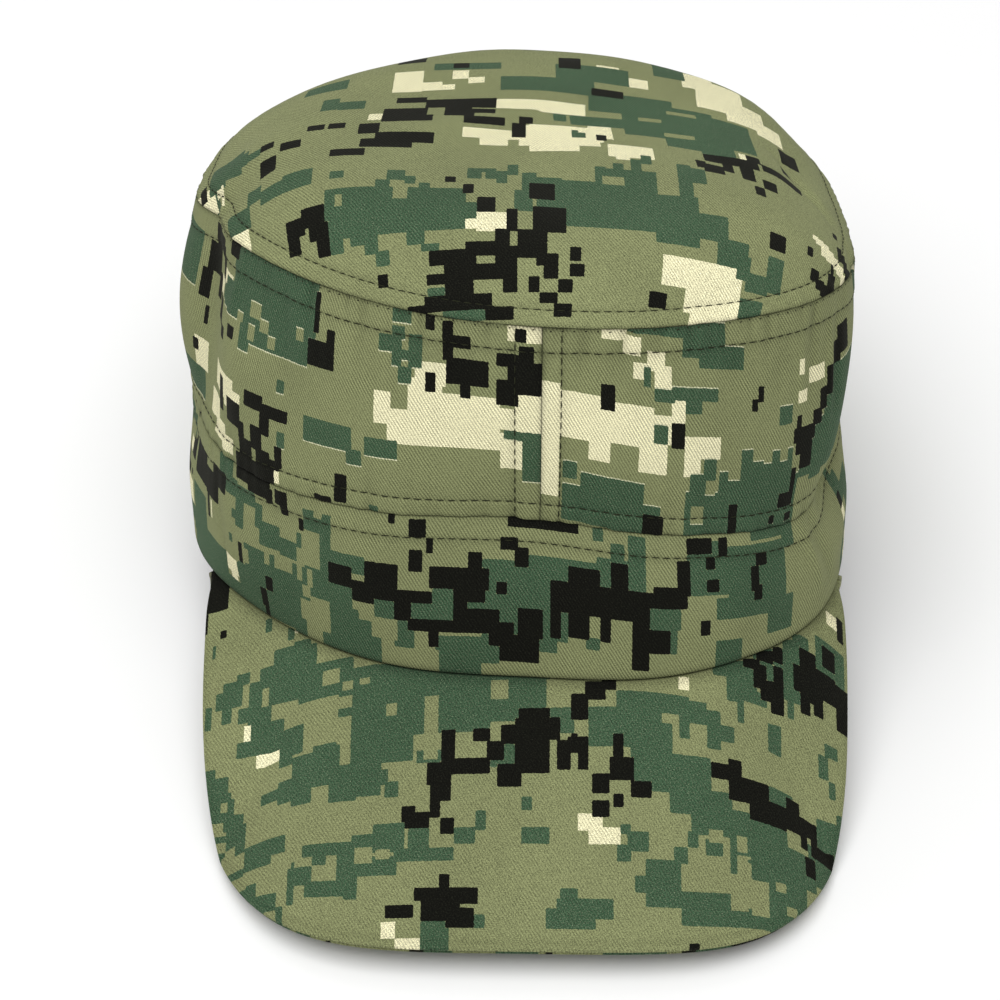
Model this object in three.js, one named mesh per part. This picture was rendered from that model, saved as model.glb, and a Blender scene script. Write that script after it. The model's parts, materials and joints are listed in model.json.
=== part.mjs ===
// A soft cap with a flat top and a stiff peak, sewn from printed cotton twill.
// Six sewn pieces: a domed top, two side panels that meet at the front and the back,
// a doubled band round the head opening, and a peak with an upper and an under side.
// Millimetres, +Z up. The peak points along -Y, and the cap stands on a table at z = 0.
import * as THREE from 'three';

// Driving dimensions of the head opening and the crown.
const HALF_WIDTH = 91; // centre of the opening to its side, outside the band
const FRONT_REACH = 100; // centre of the opening to the front of the band
const BACK_REACH = 100; // centre of the opening to the back of the band
const BAND_HEIGHT = 46; // rim to the band's upper seam, at the front
const PANEL_HEIGHT = 56.5; // band's upper seam to the top's seam, at the front
const TOP_RISE = 17.4; // how far the stuffed top stands above the plane of its seam
const TOP_ROUNDNESS = 7.6; // power of the top's shoulder: more is flatter in the middle
const CROWN_BACKSET = 12; // highest point of the top, behind the centre of the opening
const CROWN_MIDDLE = 0.83; // height of the seam's plane under that point, as a share of PANEL_HEIGHT
const TOP_TURN = 0.25; // share of the top over which its thickness turns from level to upright
const TOP_DENT_START = 0.1; // share of the top, next to its seam, that the dents leave alone
const HEM_LEVEL = 0.5; // level on the band below which the folds die out

// Walls of cloth, and the line of air between sewn pieces.
const CLOTH = 1.2; // side panels and top, with their turned edges
const BAND_WALL = 2.4; // band, two layers with their seam allowances
const PEAK_UPPER_WALL = 2.0; // upper side of the peak, stiffened
const PEAK_UNDER_WALL = 1.4; // under side of the peak
const SEAM_GAP = 0.3;
const BAND_BULGE = 1.0; // how far the band swells between its rim and its seam
const PANEL_BULGE = 1.8; // how far the side panels swell between their seams

// Driving dimensions of the peak.
const PEAK_REACH = 60; // front of the band to the front edge of the peak, along Y
const PEAK_DROP = 42; // rim to the peak's front edge
const PEAK_ANGLE = 62; // degrees round from the front to each end of the peak
const PEAK_HEEL = 2.6; // width of the peak at its ends
const PEAK_FLARE = 1.2; // how much the peak widens to each side, from its ends to its front
const PEAK_SKEW = 1.2; // how far the front of the peak sits off centre, towards +X
const PEAK_TWIST = 1.6; // how much lower the peak's +X corner hangs than its -X corner
const PEAK_SIDE_POWER = 4.2; // how square the outline is to its sides
const PEAK_FRONT_POWER = 3.1; // how square the outline is to its front
const PEAK_FALL = 0.69; // share of the peak's length at which its edge is fully down
const PEAK_FALL_POWER = 1.15;
const PEAK_ROOT = 16; // stretch of the peak over which its thickness turns from upright to square

const FRONT_SEAM_ANGLE = 3; // degrees, as the seam of the side panels sits off centre
const BACK_SEAM_ANGLE = 180;

// The three rings of the crown: rim, band seam and top seam. One row for every 22.5 degrees
// round from the front, towards +X first. rim, band and top are radii as shares of the
// opening's oval. bandUp and panelUp are heights as shares of BAND_HEIGHT and PANEL_HEIGHT.
const SECTIONS = [
  { angle: 0, rim: 1.0, band: 0.96, top: 0.995, bandUp: 1.0, panelUp: 0.995 },
  { angle: 22.5, rim: 1.08, band: 1.046, top: 1.045, bandUp: 0.885, panelUp: 1.06 },
  { angle: 45, rim: 1.105, band: 1.075, top: 1.085, bandUp: 0.735, panelUp: 1.115 },
  { angle: 67.5, rim: 1.02, band: 0.975, top: 1.0, bandUp: 0.785, panelUp: 0.965 },
  { angle: 90, rim: 0.945, band: 0.93, top: 0.93, bandUp: 0.826, panelUp: 0.855 },
  { angle: 112.5, rim: 0.95, band: 0.95, top: 0.945, bandUp: 0.826, panelUp: 0.8 },
  { angle: 135, rim: 0.985, band: 0.98, top: 0.985, bandUp: 0.826, panelUp: 0.79 },
  { angle: 157.5, rim: 1.0, band: 0.995, top: 0.99, bandUp: 0.826, panelUp: 0.795 },
  { angle: 180, rim: 1.0, band: 0.99, top: 0.975, bandUp: 0.826, panelUp: 0.8 },
  { angle: 202.5, rim: 1.0, band: 0.995, top: 0.985, bandUp: 0.826, panelUp: 0.81 },
  { angle: 225, rim: 1.0, band: 1.005, top: 0.985, bandUp: 0.826, panelUp: 0.84 },
  { angle: 247.5, rim: 1.005, band: 1.01, top: 0.98, bandUp: 0.848, panelUp: 0.89 },
  { angle: 270, rim: 1.005, band: 1.012, top: 0.968, bandUp: 0.87, panelUp: 0.96 },
  { angle: 292.5, rim: 1.055, band: 1.045, top: 0.985, bandUp: 0.9, panelUp: 1.045 },
  { angle: 315, rim: 1.036, band: 1.045, top: 0.98, bandUp: 0.93, panelUp: 1.065 },
  { angle: 337.5, rim: 1.025, band: 1.01, top: 0.975, bandUp: 0.98, panelUp: 1.02 },
];

// Folds of the side wall. level counts up the wall: 0 at the rim, 1 at the band seam and
// 2 at the top seam. angle and width are degrees, slant is degrees per level, tall is in
// levels, and depth is a share of HALF_WIDTH, inwards.
const WALL_FOLDS = [
  { angle: 66, width: 9, slant: 15, level: 1.3, tall: 0.5, depth: 0.075 },
  { angle: 52, width: 8, slant: 10, level: 1.35, tall: 0.55, depth: -0.02 },
  { angle: 58, width: 14, slant: 0, level: 1.0, tall: 0.16, depth: 0.04 },
  { angle: 60, width: 16, slant: 0, level: 0.5, tall: 0.3, depth: -0.02 },
  { angle: 296, width: 6, slant: -6, level: 1.75, tall: 0.5, depth: 0.04 },
  { angle: 284, width: 7, slant: -8, level: 1.5, tall: 0.5, depth: -0.02 },
  { angle: 288, width: 9, slant: 12, level: 0.95, tall: 0.35, depth: 0.03 },
  { angle: 232, width: 12, slant: 10, level: 1.3, tall: 0.45, depth: 0.045 },
  { angle: 140, width: 13, slant: -12, level: 1.25, tall: 0.45, depth: 0.05 },
];

// Dents of the top. inset counts from the seam at 0 to the middle at 1, and long is in the
// same shares. angle and width are degrees, and depth is a share of TOP_RISE, downwards.
const TOP_DENTS = [
  { angle: 78, width: 18, inset: 0.16, long: 0.06, depth: 0.12 },
  { angle: 282, width: 16, inset: 0.1, long: 0.06, depth: 0.1 },
  { angle: 150, width: 22, inset: 0.3, long: 0.14, depth: 0.06 },
];

// Steps of the faceted surfaces.
const ROUND_STEPS = 96;
const BAND_STEPS = 3;
const PANEL_STEPS = 5;
const TOP_STEPS = 8;
const PEAK_ROUND_STEPS = 38;
const PEAK_RIM_SAMPLES = 300;
const PEAK_STEPS = 7;
const RING_CROWDING = 1.5; // power that crowds the rings of the top towards its seam
const TANGENT_STEP = 0.5; // degrees
const TANGENT_SHARE = 0.02;

const COLOURS = { twill: 0x8b8d68, under: 0x6f7152 };
const UP = new THREE.Vector3(0, 0, 1);
const radians = THREE.MathUtils.degToRad;

// A column of the sections at any angle, as a closed Catmull-Rom curve through its rows.
function sectionValue(column, angle) {
  const count = SECTIONS.length;
  const place = (((angle % 360) + 360) % 360) / (360 / count);
  const row = Math.floor(place);
  const f = place - row;
  const [a, b, c, d] = [-1, 0, 1, 2].map((k) => SECTIONS[(row + k + count) % count][column]);
  const [first, second, third] = [c - a, 2 * a - 5 * b + 4 * c - d, 3 * b - a - 3 * c + d];
  return b + 0.5 * (first * f + second * f ** 2 + third * f ** 3);
}

// Distance from the centre to the opening's oval.
function ovalRadius(angle) {
  const reach = Math.cos(radians(angle)) > 0 ? FRONT_REACH : BACK_REACH;
  return 1 / Math.hypot(Math.sin(radians(angle)) / HALF_WIDTH, Math.cos(radians(angle)) / reach);
}

// 1 in the middle of a fold, falling smoothly to 0.
const bell = (distance, reach) => Math.exp(-((distance / reach) ** 2));

// Even steps from one value to another, both ends included.
const steps = (from, to, count) => (
  Array.from({ length: count + 1 }, (_, i) => from + ((to - from) * i) / count)
);

// Shortest way round from one angle to another, in degrees.
const turn = (from, to) => ((((to - from) % 360) + 540) % 360) - 180;

// A point of one of the rings: level 0 is the rim, 1 the band seam and 2 the top seam.
function ringPoint(angle, level) {
  const column = ['rim', 'band', 'top'][level];
  const radius = ovalRadius(angle) * sectionValue(column, angle);
  let height = 0;
  if (level > 0) height += BAND_HEIGHT * sectionValue('bandUp', angle);
  if (level > 1) height += PANEL_HEIGHT * sectionValue('panelUp', angle);
  return new THREE.Vector3(radius * Math.sin(radians(angle)), -radius * Math.cos(radians(angle)), height);
}

// How far the folds push the wall in at a place on it.
function foldDepth(angle, level) {
  let depth = 0;
  for (const fold of WALL_FOLDS) {
    const middle = fold.angle + fold.slant * (level - fold.level);
    const share = bell(turn(middle, angle), fold.width) * bell(level - fold.level, fold.tall);
    depth += fold.depth * HALF_WIDTH * share;
  }
  return depth;
}

// A point of the wall's outer face. level runs from 0 at the rim to 2 at the top seam. The folds
// die out at the rim, which is hemmed and stays flat.
function wallPoint(angle, level) {
  const low = level < 1 ? 0 : 1;
  const share = level - low;
  const point = ringPoint(angle, low).lerp(ringPoint(angle, low + 1), share);
  const swell = (low ? PANEL_BULGE : BAND_BULGE) * Math.sin(Math.PI * share);
  const hem = Math.min(1, level / HEM_LEVEL);
  const out = new THREE.Vector3(Math.sin(radians(angle)), -Math.cos(radians(angle)), 0);
  return point.addScaledVector(out, swell - hem * foldDepth(angle, level));
}

// Level way through the wall, inwards.
function wallInwards(angle, level) {
  const [before, after] = [wallPoint(angle - TANGENT_STEP, level), wallPoint(angle + TANGENT_STEP, level)];
  return UP.clone().cross(after.sub(before).setZ(0).normalize());
}

// A point of the top's outer face. inset runs from 0 at the seam to 1 in the middle.
function topPoint(angle, inset) {
  const seam = wallPoint(angle, 2);
  const middleHeight = BAND_HEIGHT + PANEL_HEIGHT * CROWN_MIDDLE;
  const point = seam.lerp(new THREE.Vector3(0, CROWN_BACKSET, middleHeight), inset);
  let rise = 1 - (1 - inset) ** TOP_ROUNDNESS;
  for (const dent of TOP_DENTS) {
    const share = bell(turn(dent.angle, angle), dent.width) * bell(inset - dent.inset, dent.long);
    rise -= dent.depth * share * Math.min(1, inset / TOP_DENT_START);
  }
  point.z += TOP_RISE * rise;
  return point;
}

// A point of the peak's outer edge. along runs from -1 at one end to 1 at the other.
function peakEdge(along) {
  const end = wallPoint(PEAK_ANGLE * Math.sign(along || 1), 0);
  const half = Math.abs(end.x);
  const heel = end.y - PEAK_HEEL;
  const reach = heel + FRONT_REACH + PEAK_REACH;
  const swing = (along * Math.PI) / 2;
  const ahead = Math.cos(swing) ** (2 / PEAK_FRONT_POWER);
  const side = Math.sign(along) * Math.abs(Math.sin(swing)) ** (2 / PEAK_SIDE_POWER);
  const fall = Math.min(1, ahead / PEAK_FALL) ** PEAK_FALL_POWER;
  const drop = PEAK_DROP + (PEAK_TWIST / 2) * side;
  const x = (half + PEAK_FLARE * ahead) * side + PEAK_SKEW * ahead;
  return new THREE.Vector3(x, heel - reach * ahead, -SEAM_GAP - drop * fall);
}

// The peak's outer edge at even steps of its length.
const peakRim = new THREE.CatmullRomCurve3(
  steps(-1, 1, PEAK_RIM_SAMPLES).map(peakEdge),
);
peakRim.arcLengthDivisions = 2 * PEAK_RIM_SAMPLES;

// A point of the peak's upper face. out is -1 inside the band, 0 at the band's face and 1 at the
// peak's edge, and along runs from -1 to 1.
function peakPoint(along, out) {
  const angle = PEAK_ANGLE * along;
  const root = wallPoint(angle, 0).setZ(-SEAM_GAP);
  if (out <= 0) return root.addScaledVector(wallInwards(angle, 0), -out * BAND_WALL);
  return root.lerp(peakRim.getPointAt((along + 1) / 2), out);
}

// Way down through the peak: upright where it lies under the band, and square to it further out.
function peakInwards(along, out) {
  const ahead = Math.max(0, out);
  const [left, right] = [Math.max(-1, along - TANGENT_SHARE), Math.min(1, along + TANGENT_SHARE)];
  const [near, far] = [Math.max(0, ahead - TANGENT_SHARE), Math.min(1, ahead + TANGENT_SHARE)];
  const across = peakPoint(right, ahead).sub(peakPoint(left, ahead));
  const forward = peakPoint(along, far).sub(peakPoint(along, near));
  const distance = peakPoint(along, ahead).distanceTo(peakPoint(along, 0));
  const square = THREE.MathUtils.smoothstep(distance, 0, PEAK_ROOT);
  return across.cross(forward).normalize().multiplyScalar(square).addScaledVector(UP, square - 1).normalize();
}

// A closed shell from a grid of points and the grid behind it. rows[i][j] are points. A round
// grid closes on itself along j, and a pointed one has its last row in one point.
function shell(front, back, { round = false, pointed = false }) {
  const rows = front.length;
  const columns = front[0].length;
  const spans = round ? columns : columns - 1;
  const vertices = [];
  const faces = [];
  const place = (points) => points.map((row) => row.map((p) => vertices.push(p.x, p.y, p.z) / 3 - 1));
  const ids = [place(front), place(back)];
  if (pointed) ids.forEach((grid) => grid[rows - 1].fill(grid[rows - 1][0]));
  const quad = (a, b, c, d) => {
    if (a !== b) faces.push(a, b, c);
    if (c !== d) faces.push(a, c, d);
  };
  ids.forEach((grid, side) => {
    for (let i = 0; i < rows - 1; i += 1) {
      for (let j = 0; j < spans; j += 1) {
        const k = (j + 1) % columns;
        const corners = [grid[i][j], grid[i][k], grid[i + 1][k], grid[i + 1][j]];
        if (side) corners.reverse();
        quad(...corners);
      }
    }
  });
  const [outer, inner] = ids;
  for (let j = 0; j < spans; j += 1) {
    const k = (j + 1) % columns;
    quad(inner[0][j], inner[0][k], outer[0][k], outer[0][j]);
    if (!pointed) quad(outer[rows - 1][j], outer[rows - 1][k], inner[rows - 1][k], inner[rows - 1][j]);
  }
  for (let i = 0; i < rows - 1 && !round; i += 1) {
    quad(inner[i][0], outer[i][0], outer[i + 1][0], inner[i + 1][0]);
    quad(outer[i][columns - 1], inner[i][columns - 1], inner[i + 1][columns - 1], outer[i + 1][columns - 1]);
  }
  const geometry = new THREE.BufferGeometry();
  geometry.setAttribute('position', new THREE.Float32BufferAttribute(vertices, 3));
  geometry.setIndex(faces);
  geometry.computeVertexNormals();
  return geometry;
}

// A stretch of the wall between two levels and two angles, as thick as its cloth. Its lower and
// upper edges keep half a seam gap to the seam lines where they are sewn.
function wallPiece({ angles, levels, thickness, sewnBelow, sewnAbove, round }) {
  const last = levels.length - 1;
  const grid = (depth) => levels.map((level, i) => angles.map((angle) => {
    const point = wallPoint(angle, level).addScaledVector(wallInwards(angle, level), depth);
    if (i === 0 && sewnBelow) point.z += SEAM_GAP / 2;
    if (i === last && sewnAbove) point.z -= SEAM_GAP / 2;
    return point;
  }));
  return shell(grid(0), grid(thickness), { round });
}

function bandGeometry() {
  const angles = steps(0, 360, ROUND_STEPS).slice(0, -1);
  const levels = steps(0, 1, BAND_STEPS);
  return wallPiece({ angles, levels, thickness: BAND_WALL, sewnAbove: true, round: true });
}

// The panel between two seams. Its ends keep half a seam gap to them.
function panelGeometry(from, to) {
  const gapAngle = THREE.MathUtils.radToDeg(SEAM_GAP / 2 / FRONT_REACH);
  const count = Math.round(((to - from) / 360) * ROUND_STEPS);
  const angles = steps(from + gapAngle, to - gapAngle, count);
  const levels = steps(1, 2, PANEL_STEPS);
  return wallPiece({ angles, levels, thickness: CLOTH, sewnBelow: true, sewnAbove: true });
}

// The top rests on the upper edges of the side panels, so its own edge is level there.
function topGeometry() {
  const angles = steps(0, 360, ROUND_STEPS).slice(0, -1);
  const insets = steps(0, 1, TOP_STEPS).map((share) => share ** RING_CROWDING);
  const outer = insets.map((inset) => angles.map((angle) => {
    const point = topPoint(angle, inset);
    point.z += SEAM_GAP / 2;
    return point;
  }));
  const inner = insets.map((inset, i) => angles.map((angle, j) => {
    const level = wallInwards(angle, 2);
    const down = THREE.MathUtils.smoothstep(inset, 0, TOP_TURN);
    const way = level.multiplyScalar(1 - down).addScaledVector(UP, -down).normalize();
    return outer[i][j].clone().addScaledVector(way, CLOTH);
  }));
  return shell(outer, inner, { round: true, pointed: true });
}

// One side of the peak, between two depths below its upper face.
function peakGeometry(from, to) {
  const outs = [-1, ...steps(0, 1, PEAK_STEPS)];
  const alongs = steps(-1, 1, PEAK_ROUND_STEPS);
  const grid = (depth) => outs.map((out) => alongs.map((along) => (
    peakPoint(along, out).addScaledVector(peakInwards(along, out), depth)
  )));
  return shell(grid(to), grid(from), {});
}

function piece(name, geometry, colour) {
  const material = new THREE.MeshStandardMaterial({ color: colour, roughness: 0.9, metalness: 0 });
  const mesh = new THREE.Mesh(geometry, material);
  mesh.name = name;
  return mesh;
}

// The cap leans back until the corners of its peak and the back of its rim stand on the table.
function leanOf(peakUnder, heel) {
  const position = peakUnder.geometry.getAttribute('position');
  const point = new THREE.Vector3();
  let lean = 0;
  for (let i = 0; i < position.count; i += 1) {
    point.fromBufferAttribute(position, i);
    if (point.y < heel.y / 2) lean = Math.max(lean, Math.atan2(heel.z - point.z, heel.y - point.y));
  }
  return lean;
}

const underDepth = PEAK_UPPER_WALL + SEAM_GAP;
const peakUnder = piece('peak_under', peakGeometry(underDepth, underDepth + PEAK_UNDER_WALL), COLOURS.under);
const cap = new THREE.Group();
cap.add(
  piece('crown_top', topGeometry(), COLOURS.twill),
  piece('side_panel_left', panelGeometry(FRONT_SEAM_ANGLE, BACK_SEAM_ANGLE), COLOURS.twill),
  piece('side_panel_right', panelGeometry(BACK_SEAM_ANGLE, FRONT_SEAM_ANGLE + 360), COLOURS.twill),
  piece('band', bandGeometry(), COLOURS.twill),
  piece('peak_upper', peakGeometry(0, PEAK_UPPER_WALL), COLOURS.twill),
  peakUnder,
);
cap.rotation.x = -leanOf(peakUnder, wallPoint(BACK_SEAM_ANGLE, 0));

// The origin is on the table, under the middle of the cap.
const bounds = new THREE.Box3().setFromObject(cap, true);
const middle = bounds.getCenter(new THREE.Vector3());
cap.position.set(-middle.x, -middle.y, -bounds.min.z);

const part = new THREE.Group();
part.add(cap);
export default part;
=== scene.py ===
"""Looks of a soft, flat-topped cap with a peak, sewn from printed cotton twill.

Every form is worked out in the cap's own rim frame, in millimetres: the rim of the head opening lies at
z = 0, the peak points along -Y and +X is to the right of whoever faces the peak. Placement carries each point
from there to the row frame, in metres. Angles go round the opening in degrees, from the front towards +X. A
level counts up the wall: 0 at the rim, 1 at the seam above the band and 2 at the seam of the top. Cloth
coordinates u and v are millimetres along and up a cloth; the print and the weave are laid out in them.
"""

import json
import logging
import math
from dataclasses import dataclass, field, replace
from enum import Enum
from typing import Callable, Sequence

import bpy
import numpy as np
from mathutils import Matrix, Vector


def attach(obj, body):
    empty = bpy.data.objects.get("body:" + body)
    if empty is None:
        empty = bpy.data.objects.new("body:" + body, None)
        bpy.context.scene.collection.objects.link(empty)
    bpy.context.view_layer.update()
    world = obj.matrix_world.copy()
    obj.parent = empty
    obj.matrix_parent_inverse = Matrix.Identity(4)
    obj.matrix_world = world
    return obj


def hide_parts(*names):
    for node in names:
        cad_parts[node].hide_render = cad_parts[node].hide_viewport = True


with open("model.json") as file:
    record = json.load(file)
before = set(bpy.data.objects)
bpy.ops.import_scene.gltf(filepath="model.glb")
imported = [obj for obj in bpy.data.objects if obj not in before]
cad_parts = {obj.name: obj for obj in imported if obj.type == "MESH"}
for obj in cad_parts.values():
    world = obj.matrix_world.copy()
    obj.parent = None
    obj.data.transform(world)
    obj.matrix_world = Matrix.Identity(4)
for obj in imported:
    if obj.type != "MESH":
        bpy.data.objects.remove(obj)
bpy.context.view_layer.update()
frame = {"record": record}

LOG = logging.getLogger("cap")
MM = 0.001
FULL_TURN = 360.0


class Cut(Enum):
    """The pieces of cloth that the cap is sewn from."""

    TOP = "crown_top"
    LEFT = "side_panel_left"
    RIGHT = "side_panel_right"
    BAND = "band"
    PEAK_UPPER = "peak_upper"
    PEAK_UNDER = "peak_under"


class Ink(Enum):
    """The printed inks that lie over the ground colour."""

    GREEN = 0
    BLACK = 1
    CREAM = 2


class Side(Enum):
    """The two sides of a cloth."""

    PRINTED = "printed"
    REVERSE = "reverse"


@dataclass(frozen=True)
class Section:
    """The crown's three rings at one angle, as shares of the opening's oval and of the two heights."""

    angle: float
    rim: float
    band: float
    top: float
    band_up: float
    panel_up: float


@dataclass(frozen=True)
class Fold:
    """A broad fold of the wall. Slant is degrees per level, and depth a share of the half width, inwards."""

    angle: float
    width: float
    slant: float
    level: float
    tall: float
    depth: float


@dataclass(frozen=True)
class Dent:
    """A broad dent of the top. Inset and long are shares from seam to middle, depth a share of the rise."""

    angle: float
    width: float
    inset: float
    long: float
    depth: float


@dataclass(frozen=True)
class Crease:
    """A narrow crease along a straight line of the cloth, in millimetres of cloth. Depth is inwards."""

    u_start: float
    v_start: float
    u_end: float
    v_end: float
    width: float
    depth: float


Box = tuple[float, float, float, float]


@dataclass(frozen=True)
class Chart:
    """The broad layout of the print on a cloth.

    Every box is a stretch of cloth where an ink lies: its left, low, right and high edges, in millimetres of
    cloth. Bare boxes clear the green. Outside the seen box the print falls as it will.
    """

    seen: Box | None = None
    green: tuple[Box, ...] = ()
    black: tuple[Box, ...] = ()
    cream: tuple[Box, ...] = ()
    bare: tuple[Box, ...] = ()


SECTIONS: tuple[Section, ...] = (
    Section(0.0, 1.0, 0.96, 0.995, 1.0, 0.995),
    Section(22.5, 1.08, 1.046, 1.045, 0.885, 1.06),
    Section(45.0, 1.105, 1.075, 1.085, 0.735, 1.115),
    Section(67.5, 1.02, 0.975, 1.0, 0.785, 0.965),
    Section(90.0, 0.945, 0.93, 0.93, 0.826, 0.855),
    Section(112.5, 0.95, 0.95, 0.945, 0.826, 0.8),
    Section(135.0, 0.985, 0.98, 0.985, 0.826, 0.79),
    Section(157.5, 1.0, 0.995, 0.99, 0.826, 0.795),
    Section(180.0, 1.0, 0.99, 0.975, 0.826, 0.8),
    Section(202.5, 1.0, 0.995, 0.985, 0.826, 0.81),
    Section(225.0, 1.0, 1.005, 0.985, 0.826, 0.84),
    Section(247.5, 1.005, 1.01, 0.98, 0.848, 0.89),
    Section(270.0, 1.005, 1.012, 0.968, 0.87, 0.96),
    Section(292.5, 1.055, 1.045, 0.985, 0.9, 1.045),
    Section(315.0, 1.036, 1.045, 0.98, 0.93, 1.065),
    Section(337.5, 1.025, 1.01, 0.975, 0.98, 1.02),
)

FOLDS: tuple[Fold, ...] = (
    Fold(66.0, 9.0, 15.0, 1.3, 0.5, 0.075),
    Fold(52.0, 8.0, 10.0, 1.35, 0.55, -0.02),
    Fold(58.0, 14.0, 0.0, 1.0, 0.16, 0.04),
    Fold(60.0, 16.0, 0.0, 0.5, 0.3, -0.02),
    Fold(296.0, 6.0, -6.0, 1.75, 0.5, 0.04),
    Fold(284.0, 7.0, -8.0, 1.5, 0.5, -0.02),
    Fold(288.0, 9.0, 12.0, 0.95, 0.35, 0.03),
    Fold(232.0, 12.0, 10.0, 1.3, 0.45, 0.045),
    Fold(140.0, 13.0, -12.0, 1.25, 0.45, 0.05),
)

DENTS: tuple[Dent, ...] = (
    Dent(78.0, 18.0, 0.16, 0.06, 0.12),
    Dent(282.0, 16.0, 0.1, 0.06, 0.1),
    Dent(150.0, 22.0, 0.3, 0.14, 0.06),
)

WALL_CREASES: dict[Cut, tuple[Crease, ...]] = {
    Cut.LEFT: (
        Crease(69.4, 36.0, 69.8, 58.0, 1.2, -0.5),
        Crease(73.5, 34.0, 74.5, 58.0, 1.8, 0.5),
        Crease(81.5, 26.0, 82.5, 54.0, 1.4, -0.8),
        Crease(85.0, 30.0, 87.0, 58.0, 2.2, 0.9),
        Crease(20.0, 56.0, 24.0, 34.0, 3.5, 0.35),
        Crease(46.0, 58.0, 49.0, 34.0, 3.5, 0.35),
        Crease(60.0, 56.0, 61.0, 36.0, 2.4, 0.3),
    ),
    Cut.RIGHT: (
        Crease(-121.0, 8.0, -118.0, 52.0, 4.5, 0.4),
        Crease(-110.0, 40.0, -104.0, 58.0, 3.5, 0.35),
        Crease(-98.0, 40.0, -93.0, 60.0, 1.8, -0.5),
        Crease(-76.0, 58.0, -73.0, 30.0, 3.0, 0.35),
        Crease(-50.0, 58.0, -46.0, 36.0, 3.5, 0.3),
        Crease(-24.0, 58.0, -22.0, 36.0, 3.5, 0.3),
    ),
    Cut.BAND: (
        Crease(74.0, -3.0, 82.0, -22.0, 1.6, -0.8),
        Crease(79.0, -3.0, 90.0, -26.0, 2.2, 0.8),
        Crease(-104.0, -5.0, -98.0, -36.0, 2.6, 0.5),
        Crease(-76.0, -10.0, -70.0, -38.0, 4.0, 0.35),
        Crease(58.0, -12.0, 54.0, -38.0, 4.5, 0.4),
    ),
}

TOP_CREASES: tuple[Crease, ...] = (
    Crease(66.0, -8.0, 80.0, -42.0, 2.0, 1.2),
    Crease(86.0, -50.0, 88.0, -66.0, 1.6, 0.8),
    Crease(-80.0, -36.0, -83.0, -52.0, 1.3, -0.7),
    Crease(-85.5, -34.0, -84.5, -50.0, 1.2, 0.6),
    Crease(40.0, -20.0, 62.0, -52.0, 6.0, 0.5),
    Crease(-30.0, -50.0, -58.0, -58.0, 6.0, 0.4),
)

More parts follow.
